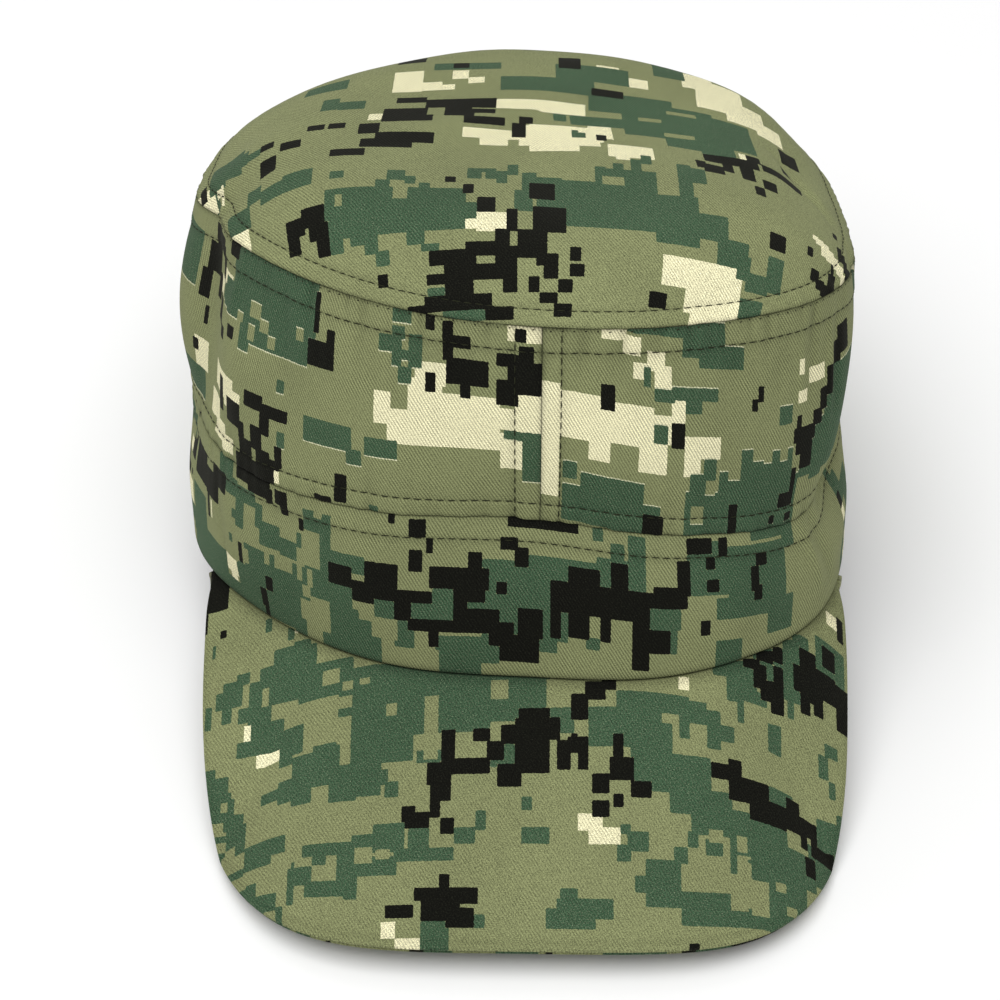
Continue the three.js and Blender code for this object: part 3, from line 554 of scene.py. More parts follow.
def crease_relief(u: np.ndarray, v: np.ndarray, creases: Sequence[Crease]) -> np.ndarray:
    """How far the creases push a cloth in, in millimetres.

    Args:
        u: Place along the cloth, in millimetres.
        v: Place up the cloth, in millimetres.
        creases: The creases of that cloth.

    Returns:
        The depth at each place.
    """
    depth = np.zeros(np.broadcast(u, v).shape)
    for crease in creases:
        run_u, run_v = crease.u_end - crease.u_start, crease.v_end - crease.v_start
        length = run_u**2 + run_v**2
        share = np.clip(((u - crease.u_start) * run_u + (v - crease.v_start) * run_v) / length, 0.0, 1.0)
        off = np.hypot(u - crease.u_start - share * run_u, v - crease.v_start - share * run_v)
        fade = np.sin(math.pi * np.clip(share, 0.08, 0.92)) ** 0.5
        depth += crease.depth * fade * bell(off, crease.width)
    return depth


@dataclass(frozen=True)
class CapForm:
    """The shape of the cap's cloth, from a few sizes in millimetres."""

    half_width: float = 91.0
    front_reach: float = 100.0
    back_reach: float = 100.0
    band_height: float = 46.0
    panel_height: float = 56.5
    top_rise: float = 17.4
    top_roundness: float = 7.6
    crown_backset: float = 12.0
    crown_middle: float = 0.83
    dent_start: float = 0.1
    hem_level: float = 0.5
    band_bulge: float = 1.0
    panel_bulge: float = 1.8
    peak_reach: float = 60.0
    peak_drop: float = 42.0
    peak_angle: float = 62.0
    peak_heel: float = 2.6
    peak_flare: float = 1.2
    peak_skew: float = 1.2
    peak_twist: float = 1.6
    peak_side_power: float = 4.2
    peak_front_power: float = 3.1
    peak_fall: float = 0.69
    peak_fall_power: float = 1.15
    front_seam: float = 2.0
    seam_gap: float = 0.3
    cloth: float = 1.2
    band_wall: float = 2.4
    upper_wall: float = 2.0
    under_wall: float = 1.4

    def section(self, column: str, angle: np.ndarray) -> np.ndarray:
        """A column of the sections at any angle, as a closed curve through its rows."""
        values = np.array([getattr(row, column) for row in SECTIONS])
        place = np.mod(angle, FULL_TURN) / (FULL_TURN / len(values))
        row = np.floor(place).astype(int)
        f = place - row
        a, b, c, d = (values[(row + k) % len(values)] for k in (-1, 0, 1, 2))
        square, cube = 2 * a - 5 * b + 4 * c - d, 3 * b - a - 3 * c + d
        return 0.5 * (2 * b + (c - a) * f + square * f**2 + cube * f**3)

    def ring(self, angle: np.ndarray, level: int) -> np.ndarray:
        """Points of one of the three rings of the crown."""
        column = ("rim", "band", "top")[level]
        sine, cosine = np.sin(np.radians(angle)), np.cos(np.radians(angle))
        reach = np.where(cosine > 0, self.front_reach, self.back_reach)
        radius = self.section(column, angle) / np.hypot(sine / self.half_width, cosine / reach)
        height = np.zeros_like(radius)
        if level > 0:
            height = height + self.band_height * self.section("band_up", angle)
        if level > 1:
            height = height + self.panel_height * self.section("panel_up", angle)
        return np.stack([radius * sine, -radius * cosine, height], axis=-1)

    def wall(self, angle: np.ndarray, level: np.ndarray, upper: bool) -> np.ndarray:
        """Points of the wall's outer face.

        Args:
            angle: Degrees round from the front.
            level: Level of each point.
            upper: Whether the points belong to the side panels, and not to the band.

        Returns:
            The points, with their coordinates along the last axis.
        """
        angle, level = np.broadcast_arrays(np.asarray(angle, float), np.asarray(level, float))
        low = 1 if upper else 0
        share = level - low
        start, end = self.ring(angle, low), self.ring(angle, low + 1)
        points = start + (end - start) * share[..., None]
        swell = (self.panel_bulge if upper else self.band_bulge) * np.sin(math.pi * share)
        depth = np.zeros_like(share)
        for fold in FOLDS:
            middle = fold.angle + fold.slant * (level - fold.level)
            depth += fold.depth * bell(turn(middle, angle), fold.width) * bell(level - fold.level, fold.tall)
        push = swell - np.minimum(1.0, level / self.hem_level) * depth * self.half_width
        out = np.stack([np.sin(np.radians(angle)), -np.cos(np.radians(angle)), np.zeros_like(share)], axis=-1)
        return points + out * push[..., None]

    def middle(self) -> np.ndarray:
        """The point under the middle of the top, in the plane of its seam."""
        return np.array([0.0, self.crown_backset, self.band_height + self.panel_height * self.crown_middle])

    def top(self, angle: np.ndarray, inset: np.ndarray) -> np.ndarray:
        """Points of the top's outer face. Inset runs from 0 at the seam to 1 in the middle."""
        angle, inset = np.broadcast_arrays(np.asarray(angle, float), np.asarray(inset, float))
        seam = self.wall(angle, np.full_like(angle, 2.0), True)
        points = seam + (self.middle() - seam) * inset[..., None]
        rise = 1.0 - np.clip(1.0 - inset, 0.0, 1.0) ** self.top_roundness
        for dent in DENTS:
            share = bell(turn(dent.angle, angle), dent.width) * bell(inset - dent.inset, dent.long)
            rise = rise - dent.depth * share * np.minimum(1.0, inset / self.dent_start)
        return points + np.array([0.0, 0.0, self.top_rise]) * rise[..., None]

    def peak_edge(self, along: np.ndarray) -> np.ndarray:
        """Points of the peak's outer edge. Along runs from -1 at one end to 1 at the other."""
        ends = self.wall(self.peak_angle * np.where(along < 0, -1.0, 1.0), np.zeros_like(along), False)
        half = np.abs(ends[..., 0])
        heel = ends[..., 1] - self.peak_heel
        swing = along * math.pi / 2
        ahead = np.clip(np.cos(swing), 0.0, 1.0) ** (2 / self.peak_front_power)
        side = np.sign(along) * np.abs(np.sin(swing)) ** (2 / self.peak_side_power)
        fall = np.minimum(1.0, ahead / self.peak_fall) ** self.peak_fall_power
        drop = self.peak_drop + self.peak_twist / 2 * side
        x = (half + self.peak_flare * ahead) * side + self.peak_skew * ahead
        y = heel - (heel + self.front_reach + self.peak_reach) * ahead
        return np.stack([x, y, -self.seam_gap - drop * fall], axis=-1)

    def peak(self, along: np.ndarray, out: np.ndarray) -> np.ndarray:
        """Points of the peak's upper face. Out runs from 0 at the band to 1 at the peak's edge."""
        along, out = np.broadcast_arrays(np.asarray(along, float), np.asarray(out, float))
        samples = np.linspace(-1.0, 1.0, 1201)
        edge = self.peak_edge(samples)
        walked = walked_along(edge)
        at = (np.clip(along, -1.0, 1.0) + 1) / 2 * walked[-1]
        rim = np.stack([np.interp(at, walked, edge[:, k]) for k in range(3)], axis=-1)
        root = self.wall(self.peak_angle * along, np.zeros_like(along), False)
        root = root - np.array([0.0, 0.0, self.seam_gap])
        return root + (rim - root) * out[..., None]


@dataclass(frozen=True)
class Placement:
    """Carries points from the rim frame in millimetres to the row frame in metres."""

    form: CapForm

    def matrix(self) -> Matrix:
        """The rim frame's place, from the mount at the back of the rim's flat lower edge."""
        mount = next(m for m in frame["record"]["mounts"] if m["name"] == "rim_back")
        up = -Vector(mount["axis"]).normalized()
        side = Vector((1.0, 0.0, 0.0))
        back = up.cross(side)
        turned = Matrix((side, back, up)).transposed()
        reach = (self.form.back_reach - self.form.band_wall / 2) * MM
        origin = Vector(mount["pos_m"]) - turned @ Vector((0.0, reach, 0.0))
        return Matrix.Translation(origin) @ turned.to_4x4()

    def carry(self, points: np.ndarray) -> np.ndarray:
        """Row frame metres from rim frame millimetres."""
        full = np.array(self.matrix())
        return points.reshape(-1, 3) * MM @ full[:3, :3].T + full[:3, 3]


@dataclass(frozen=True)
class Surface:
    """A face of a piece of cloth as a function of two parameters, with its relief and cloth coordinates."""

    base: Callable[[np.ndarray, np.ndarray], np.ndarray]
    cloth: Callable[[np.ndarray, np.ndarray], tuple[np.ndarray, np.ndarray]]
    relief: Callable[[np.ndarray, np.ndarray], np.ndarray]
    step_a: float
    step_b: float
    range_b: tuple[float, float]
    sign: float = 1.0
    # How much painted shade darkens each place, from 0 to 1.
    shade: Callable[[np.ndarray, np.ndarray], np.ndarray] | None = None

    def normal(self, a: np.ndarray, b: np.ndarray) -> np.ndarray:
        """Outward directions at the given places."""
        low, high = self.range_b
        b = np.clip(b, low + self.step_b, high - self.step_b)
        across = self.base(a + self.step_a, b) - self.base(a - self.step_a, b)
        up = self.base(a, b + self.step_b) - self.base(a, b - self.step_b)
        direction = np.cross(across, up) * self.sign
        return direction / np.linalg.norm(direction, axis=-1, keepdims=True)

    def at(self, a: np.ndarray, b: np.ndarray, depth: float | np.ndarray = 0.0) -> np.ndarray:
        """Points of the cloth with its relief, depth millimetres under its outer face."""
        a, b = np.broadcast_arrays(np.asarray(a, float), np.asarray(b, float))
        height = self.relief(a, b) - depth
        return self.base(a, b) + self.normal(a, b) * height[..., None]


@dataclass(frozen=True)
class ClothMesh:
    """Builds the mesh of one piece of cloth from its surface."""

    name: str
    surface: Surface
    placement: Placement
    thickness: float
    closed: bool = False
    pointed: bool = False
    flipped: bool = False
    chart: Chart = Chart()

    def build(self, a: np.ndarray, b: np.ndarray, roll: np.ndarray) -> bpy.types.Object:
        """Builds the piece as one closed shell.

        Args:
            a: First parameter of each column, one more than the columns where the piece is closed.
            b: Second parameter, a row for each row of the mesh.
            roll: How far each row turns in at the piece's edge, as a share of half the thickness.

        Returns:
            The new object, in the row frame.
        """
        columns = len(a) - 1 if self.closed else len(a)
        grid_a = np.broadcast_to(a, b.shape)
        half = self.thickness / 2
        turned = half * roll[:, None] * 0.98
        outer = self.surface.at(grid_a, b, turned)[:, :columns]
        inner = self.surface.at(grid_a, b, self.thickness - turned)[:, :columns]
        u, v = self.surface.cloth(grid_a, b)
        rows = b.shape[0]
        points = np.concatenate([outer.reshape(-1, 3), inner.reshape(-1, 3)])
        flat = np.stack([u, v], axis=-1)
        quads, corners, reverse = self._faces(rows, columns)
        faces = quads.tolist()
        mesh = bpy.data.meshes.new(self.name)
        if self.pointed:
            faces = [list(dict.fromkeys(face)) for face in self._merged(quads, rows, columns)]
        mesh.from_pydata(self.placement.carry(points).tolist(), [], faces)
        sizes = np.array([len(face) for face in faces])
        loops = corners[self._kept(quads, rows, columns)] if self.pointed else corners.reshape(-1, 2)
        assert len(loops) == sizes.sum()
        layer = mesh.uv_layers.new(name="cloth")
        layer.data.foreach_set("uv", (flat[loops[:, 0], loops[:, 1]] * MM).ravel())
        mesh.polygons.foreach_set("material_index", reverse.astype(int))
        mesh.polygons.foreach_set("use_smooth", np.ones(len(faces), bool))
        starts = np.concatenate([[0], np.cumsum(sizes)[:-1]])
        centre = np.add.reduceat(flat[loops[:, 0], loops[:, 1]], starts) / sizes[:, None]
        place, inks = BlockMap(self.chart).around(centre[:, 0], centre[:, 1])
        for title, values in (("block", place), ("inks", inks)):
            attribute = mesh.attributes.new(title, "FLOAT_VECTOR", "FACE")
            attribute.data.foreach_set("vector", values.ravel())
        # Painted shade of seams, stitch lines, puckers and creases, which the finish darkens the colour by.
        if self.surface.shade:
            shade = self.surface.shade(grid_a, b)[:, :columns].ravel()
            attribute = mesh.attributes.new("shade", "FLOAT", "POINT")
            attribute.data.foreach_set("value", np.concatenate([shade, shade]))
        mesh.update()
        return link(mesh)

    def _faces(self, rows: int, columns: int) -> tuple[np.ndarray, np.ndarray, np.ndarray]:
        """Vertex numbers, grid places and side of every quad of the shell."""
        spans = columns if self.closed else columns - 1
        i, j = np.meshgrid(np.arange(rows - 1), np.arange(spans), indexing="ij")
        i, j = i.ravel(), j.ravel()
        around = np.stack([np.stack([i, j], 1), np.stack([i, j + 1], 1), np.stack([i + 1, j + 1], 1),
                           np.stack([i + 1, j], 1)], 1)
        places, reverse = [around, around[:, ::-1]], [0, 1]
        flags = [np.zeros(around.shape[:2], int), np.ones(around.shape[:2], int)]
        for row, order in ((0, 1), (rows - 1, -1)):
            if row and self.pointed:
                continue
            k = np.arange(spans)
            strip = np.stack([np.stack([np.full(spans, row), k + d], 1) for d in (0, 1, 1, 0)], 1)
            side = np.tile([1, 1, 0, 0], (spans, 1))
            places.append(strip[:, ::order])
            flags.append(side[:, ::order])
            reverse.append(0)
        if not self.closed:
            for column, order in ((0, 1), (columns - 1, -1)):
                k = np.arange(rows - 1)
                strip = np.stack([np.stack([k + d, np.full(rows - 1, column)], 1) for d in (0, 0, 1, 1)], 1)
                side = np.tile([1, 0, 0, 1], (rows - 1, 1))
                places.append(strip[:, ::order])
                flags.append(side[:, ::order])
                reverse.append(0)
        sides = np.concatenate([np.full(len(p), r) for p, r in zip(places, reverse)])
        corners, behind = np.concatenate(places), np.concatenate(flags)
        if self.flipped:
            corners, behind = corners[:, ::-1], behind[:, ::-1]
        quads = behind * rows * columns + corners[..., 0] * columns + corners[..., 1] % columns
        return quads, corners, sides

    def _merged(self, quads: np.ndarray, rows: int, columns: int) -> list[list[int]]:
        """The quads with the last row of each side drawn into one point."""
        size = rows * columns
        local = quads % size
        pole = local >= size - columns
        return np.where(pole, quads - local + size - columns, quads).tolist()

    def _kept(self, quads: np.ndarray, rows: int, columns: int) -> np.ndarray:
        """Which corners are left once the last row is one point."""
        merged = np.array(self._merged(quads, rows, columns))
        keep = np.ones_like(merged, bool)
        for k in range(1, 4):
            keep[:, k] = (merged[:, k:k + 1] != merged[:, :k]).all(axis=1)
        return keep


def link(mesh: bpy.types.Mesh) -> bpy.types.Object:
    """Makes an object of a mesh and links it to the scene."""
    made = bpy.data.objects.new(mesh.name, mesh)
    bpy.context.scene.collection.objects.link(made)
    return made


class Graph:
    """A node tree, with short ways to add the nodes that the finishes need."""

    def __init__(self, tree: bpy.types.NodeTree) -> None:
        """Keeps the tree that the nodes go into."""
        self.tree = tree

    def node(self, kind: str, **settings: object) -> bpy.types.Node:
        """A new node with the given settings."""
        made = self.tree.nodes.new(kind)
        for name, value in settings.items():
            setattr(made, name, value)
        return made

    def feed(self, socket: bpy.types.NodeSocket, value: object) -> None:
        """Links a socket to a value's socket, or sets it to a plain value."""
        if isinstance(value, bpy.types.NodeSocket):
            self.tree.links.new(value, socket)
        else:
            socket.default_value = value

    def math(self, operation: str, *values: object) -> bpy.types.NodeSocket:
        """The result of a Math node."""
        made = self.node("ShaderNodeMath", operation=operation)
        for socket, value in zip(made.inputs, values):
            self.feed(socket, value)
        return made.outputs[0]

    def vector(self, *values: object) -> bpy.types.NodeSocket:
        """A vector from up to three values."""
        made = self.node("ShaderNodeCombineXYZ")
        for socket, value in zip(made.inputs, values):
            self.feed(socket, value)
        return made.outputs[0]

    def split(self, vector: object) -> list[bpy.types.NodeSocket]:
        """The three parts of a vector or a colour."""
        made = self.node("ShaderNodeSeparateXYZ")
        self.feed(made.inputs[0], vector)
        return list(made.outputs)

    def noise(self, place: object, scale: float, detail: float) -> bpy.types.Node:
        """A smooth noise over a vector."""
        made = self.node("ShaderNodeTexNoise", noise_dimensions="3D")
        self.feed(made.inputs["Vector"], place)
        made.inputs["Scale"].default_value = scale
        made.inputs["Detail"].default_value = detail
        made.inputs["Roughness"].default_value = 0.55
        return made

    def blend(self, factor: object, first: object, second: object) -> bpy.types.NodeSocket:
        """A number between two numbers."""
        made = self.node("ShaderNodeMix", data_type="FLOAT")
        for name, value in (("Factor", factor), ("A", first), ("B", second)):
            self.feed(made.inputs[name], value)
        return made.outputs[0]

    def tint(self, factor: object, first: object, second: object, mode: str = "MIX") -> bpy.types.NodeSocket:
        """A colour between two colours."""
        made = self.node("ShaderNodeMix", data_type="RGBA", blend_type=mode)
        self.feed(made.inputs[0], factor)
        self.feed(made.inputs[6], first)
        self.feed(made.inputs[7], second)
        return made.outputs[2]

    def use(self, group: bpy.types.NodeTree, *values: object) -> bpy.types.Node:
        """A group node with its inputs fed."""
        made = self.node("ShaderNodeGroup", node_tree=group)
        for socket, value in zip(made.inputs, values):
            self.feed(socket, value)
        return made


def group_tree(
    name: str, inputs: Sequence[str], outputs: Sequence[str]
) -> tuple[Graph, list[bpy.types.NodeSocket], bpy.types.Node]:
    """A new node group of plain numbers.

    Args:
        name: The group's name.
        inputs: Names of its inputs.
        outputs: Names of its outputs.

    Returns:
        The group's graph, the sockets of its inputs and the node of its outputs.
    """
    tree = bpy.data.node_groups.new(name, "ShaderNodeTree")
    for title in inputs:
        tree.interface.new_socket(title, in_out="INPUT", socket_type="NodeSocketFloat")
    for title in outputs:
        tree.interface.new_socket(title, in_out="OUTPUT", socket_type="NodeSocketFloat")
    graph = Graph(tree)
    entry, leave = graph.node("NodeGroupInput"), graph.node("NodeGroupOutput")
    return graph, list(entry.outputs)[:len(inputs)], leave


Colour = tuple[float, float, float, float]


def colour(red: int, green: int, blue: int) -> Colour:
    """A linear colour from the screen's eight-bit values."""
    def linear(value: int) -> float:
        share = value / 255
        return share / 12.92 if share <= 0.04045 else ((share + 0.055) / 1.055) ** 2.4
    return (linear(red), linear(green), linear(blue), 1.0)


def lattice_noise(x: np.ndarray, y: np.ndarray, seed: int) -> np.ndarray:
    """Smooth noise with a period of 64, from -1 to 1, one bump for each unit."""
    period = 64
    table = np.random.default_rng(seed).uniform(-1.0, 1.0, (period, period))
    column, row = np.floor(x).astype(int), np.floor(y).astype(int)
    across, up = smoothstep(0.0, 1.0, x - column), smoothstep(0.0, 1.0, y - row)
    columns = column % period, (column + 1) % period
    near_row, far_row = (
        table[columns[0], line] * (1 - across) + table[columns[1], line] * across
        for line in (row % period, (row + 1) % period)
    )
    return near_row * (1 - up) + far_row * up


@dataclass(frozen=True)
class BlockMap:
    """Which ink each block of the print has. Lengths are millimetres."""

    chart: Chart
    cell: float = 0.9
    block_cells: tuple[int, int] = (2, 4)
    large_share: float = 0.8
    coverage: tuple[float, ...] = (0.30, 0.15, 0.09)
    shapes: tuple[tuple[float, float], ...] = ((13.0, 7.5), (8.5, 5.5), (13.0, 7.0))

    def chance(self, column: np.ndarray, row: np.ndarray, seed: int) -> np.ndarray:
        """A number from 0 to 1 for each block, without any order."""
        size = (251, 241)
        table = np.random.default_rng(seed).uniform(0.0, 1.0, size)
        return table[column % size[0], row % size[1]]

    def free(self, ink: Ink, u: np.ndarray, v: np.ndarray) -> np.ndarray:
        """The uncharted print of one ink: above 0 where it lies."""
        wide, tall = self.shapes[ink.value]
        seed = 40 + 7 * ink.value

        def drift(x: np.ndarray, y: np.ndarray) -> np.ndarray:
            fine = lattice_noise(2.3 * x / wide, 2.3 * y / tall, seed + 1)
            return lattice_noise(x / wide, y / tall, seed) + 0.4 * fine

        sample = np.random.default_rng(seed + 2).uniform(0.0, 600.0, (2, 20000))
        level = np.quantile(drift(*sample), 1.0 - self.coverage[ink.value])
        return drift(u, v) - level

    def charted(self, boxes: Sequence[Box], u: np.ndarray, v: np.ndarray) -> np.ndarray:
        """Distance inside the nearest box, in millimetres, below 0 outside them all."""
        best = np.full(u.shape, -20.0)
        for left, low, right, high in boxes:
            best = np.maximum(best, np.minimum.reduce([u - left, right - u, v - low, high - v]))
        return best

    def inks(self, column: np.ndarray, row: np.ndarray) -> np.ndarray:
        """The ink of each cell: 0 for the ground, or 1 more than the Ink's value."""
        small, large = self.block_cells
        block = np.where(self.chance(column // large, row // large, 5) < self.large_share, large, small)
        block_u, block_v = ((place // block + 0.5) * block * self.cell for place in (column, row))
        u, v = (column + 0.5) * self.cell, (row + 0.5) * self.cell
        seen = np.zeros(u.shape, bool)
        if self.chart.seen:
            seen = self.charted((self.chart.seen,), u, v) > 0
        found = np.zeros(u.shape, int)
        for ink in (Ink.CREAM, Ink.GREEN, Ink.BLACK):
            boxes = (self.chart.green, self.chart.black, self.chart.cream)[ink.value]
            drawn = self.charted(boxes, u, v) > 0
            if ink is Ink.GREEN:
                drawn &= self.charted(self.chart.bare, u, v) < 0
            lies = np.where(seen, drawn, self.free(ink, block_u, block_v) > 0)
            found = np.where(lies, ink.value + 1, found)
        return found

    def around(self, u: np.ndarray, v: np.ndarray) -> tuple[np.ndarray, np.ndarray]:
        """The cells round each place of a cloth.

        Args:
            u: Place along the cloth, in millimetres.
            v: Place up the cloth, in millimetres.

        Returns:
            The middle of each place's cell, and the inks of the nine cells round it, three to a number.
        """
        column, row = np.floor(u / self.cell).astype(int), np.floor(v / self.cell).astype(int)
        first_column, first_row = column.min() - 2, row.min() - 2
        columns, rows = column.max() - first_column + 3, row.max() - first_row + 3
        grid = np.meshgrid(np.arange(columns) + first_column, np.arange(rows) + first_row, indexing="ij")
        table = self.inks(*grid)
        lines = []
        for up in (-1, 0, 1):
            line = sum(table[column - first_column + aside, row - first_row + up] * 4 ** (aside + 1)
                       for aside in (-1, 0, 1))
            lines.append(line)
        place = np.stack([(column + 0.5) * self.cell, (row + 0.5) * self.cell, 0.0 * u], axis=-1)
        return place, np.stack(lines, axis=-1).astype(float)


@dataclass(frozen=True)
class BlockPrint:
    """The inks of the blocky print, and how they meet. Lengths are millimetres."""

    ground: Colour = colour(134, 139, 98)
    green: Colour = colour(60, 87, 63)
    black: Colour = colour(15, 15, 11)
    cream: Colour = colour(236, 231, 190)
    cell: float = 0.9
    corner: float = 0.42
    wobble: float = 0.12
    misprint: float = 0.32
    misprint_paint: Colour = colour(206, 206, 170)
    fleck: float = 1.8
    fleck_on_black: float = 0.10
    fleck_paint: Colour = colour(150, 156, 128)

    def ink_group(self) -> bpy.types.NodeTree:
        """The group that looks a place's ink up among the nine cells kept on its face."""
        graph, (u, v), leave = group_tree("ink_of", ("u", "v"), ("ink",))
        middle, inks = (graph.split(graph.node("ShaderNodeAttribute", attribute_name=name).outputs["Vector"])
                        for name in ("block", "inks"))
        aside, up = (graph.math("FLOOR", graph.math("ADD", graph.math(
            "DIVIDE", graph.math("SUBTRACT", x, middle[k]), self.cell), 1.5)) for k, x in ((0, u), (1, v)))
        aside, up = (graph.math("MINIMUM", graph.math("MAXIMUM", x, 0.0), 2.0) for x in (aside, up))
        line = graph.blend(graph.math("GREATER_THAN", up, 0.5), inks[0], inks[1])
        line = graph.blend(graph.math("GREATER_THAN", up, 1.5), line, inks[2])
        digit = graph.math("DIVIDE", graph.math("ADD", line, 0.5), graph.math("POWER", 4.0, aside))
        graph.feed(leave.inputs[0], graph.math("FLOOR", graph.math("MODULO", digit, 4.0)))
        return graph.tree

    def is_ink(
        self, graph: Graph, group: bpy.types.NodeTree, ink: Ink, u: object, v: object
    ) -> bpy.types.NodeSocket:
        """1 where a place has an ink, or else 0."""
        return graph.math("COMPARE", graph.use(group, u, v).outputs[0], ink.value + 1.0, 0.1)

    def apply(self, graph: Graph, u: object, v: object, slip: float) -> bpy.types.NodeSocket:
        """The printed colour.

        Args:
            graph: The material's graph.
            u: Place along the cloth, in millimetres.
            v: Place up the cloth, in millimetres.
            slip: Which way the green slipped in printing, 1 up or -1 down, or 0.

        Returns:
            The colour's socket.
        """
        group = self.ink_group()
        shake = graph.split(graph.noise(graph.vector(u, v, 0.0), 1.1, 2.0).outputs["Color"])
        u, v = (graph.math("MULTIPLY_ADD", graph.math("SUBTRACT", shake[k], 0.5), 4 * self.wobble, x)
                for k, x in ((0, u), (1, v)))
        paint = graph.tint(self.is_ink(graph, group, Ink.CREAM, u, v), self.ground, self.cream)
        if slip:
            shifted = graph.math("ADD", v, slip * self.misprint)
            paint = graph.tint(self.is_ink(graph, group, Ink.GREEN, u, shifted), paint, self.misprint_paint)
        fleck = graph.math("SUBTRACT", graph.noise(graph.vector(u, v, 14.0), 3.0, 1.0).outputs["Fac"], 0.5)
        fleck = graph.math("MULTIPLY", graph.math("MAXIMUM", fleck, 0.0), self.fleck)
        green = graph.tint(fleck, self.green, self.fleck_paint)
        black = graph.tint(graph.math("MULTIPLY", fleck, self.fleck_on_black), self.black, self.fleck_paint)
        paint = graph.tint(self.rounded(graph, group, Ink.GREEN, u, v), paint, green)
        return graph.tint(self.rounded(graph, group, Ink.BLACK, u, v), paint, black)

    def rounded(
        self, graph: Graph, group: bpy.types.NodeTree, ink: Ink, u: object, v: object
    ) -> bpy.types.NodeSocket:
        """An ink's mask, with the free corners of its blocks rounded."""
        half = self.cell / 2
        beyond, steps = [], []
        for x in (u, v):
            block = graph.math("FLOOR", graph.math("DIVIDE", x, self.cell))
            centre = graph.math("MULTIPLY", graph.math("ADD", block, 0.5), self.cell)
            offset = graph.math("SUBTRACT", x, centre)
            over = graph.math("SUBTRACT", graph.math("ABSOLUTE", offset), half - self.corner)
            beyond.append(graph.math("MAXIMUM", over, 0.0))
            steps.append(graph.math("MULTIPLY_ADD", graph.math("SIGN", offset), self.cell, x))
        far = graph.math("SQRT", graph.math("ADD", graph.math("POWER", beyond[0], 2.0),
                                            graph.math("POWER", beyond[1], 2.0)))
        here = self.is_ink(graph, group, ink, u, v)
        beside = self.is_ink(graph, group, ink, steps[0], v)
        above = self.is_ink(graph, group, ink, u, steps[1])
        free = graph.math("SUBTRACT", 1.0, graph.math("MAXIMUM", beside, above))
        cut = graph.math("MULTIPLY", graph.math("GREATER_THAN", far, self.corner), free)
        return graph.math("MULTIPLY", here, graph.math("SUBTRACT", 1.0, cut))


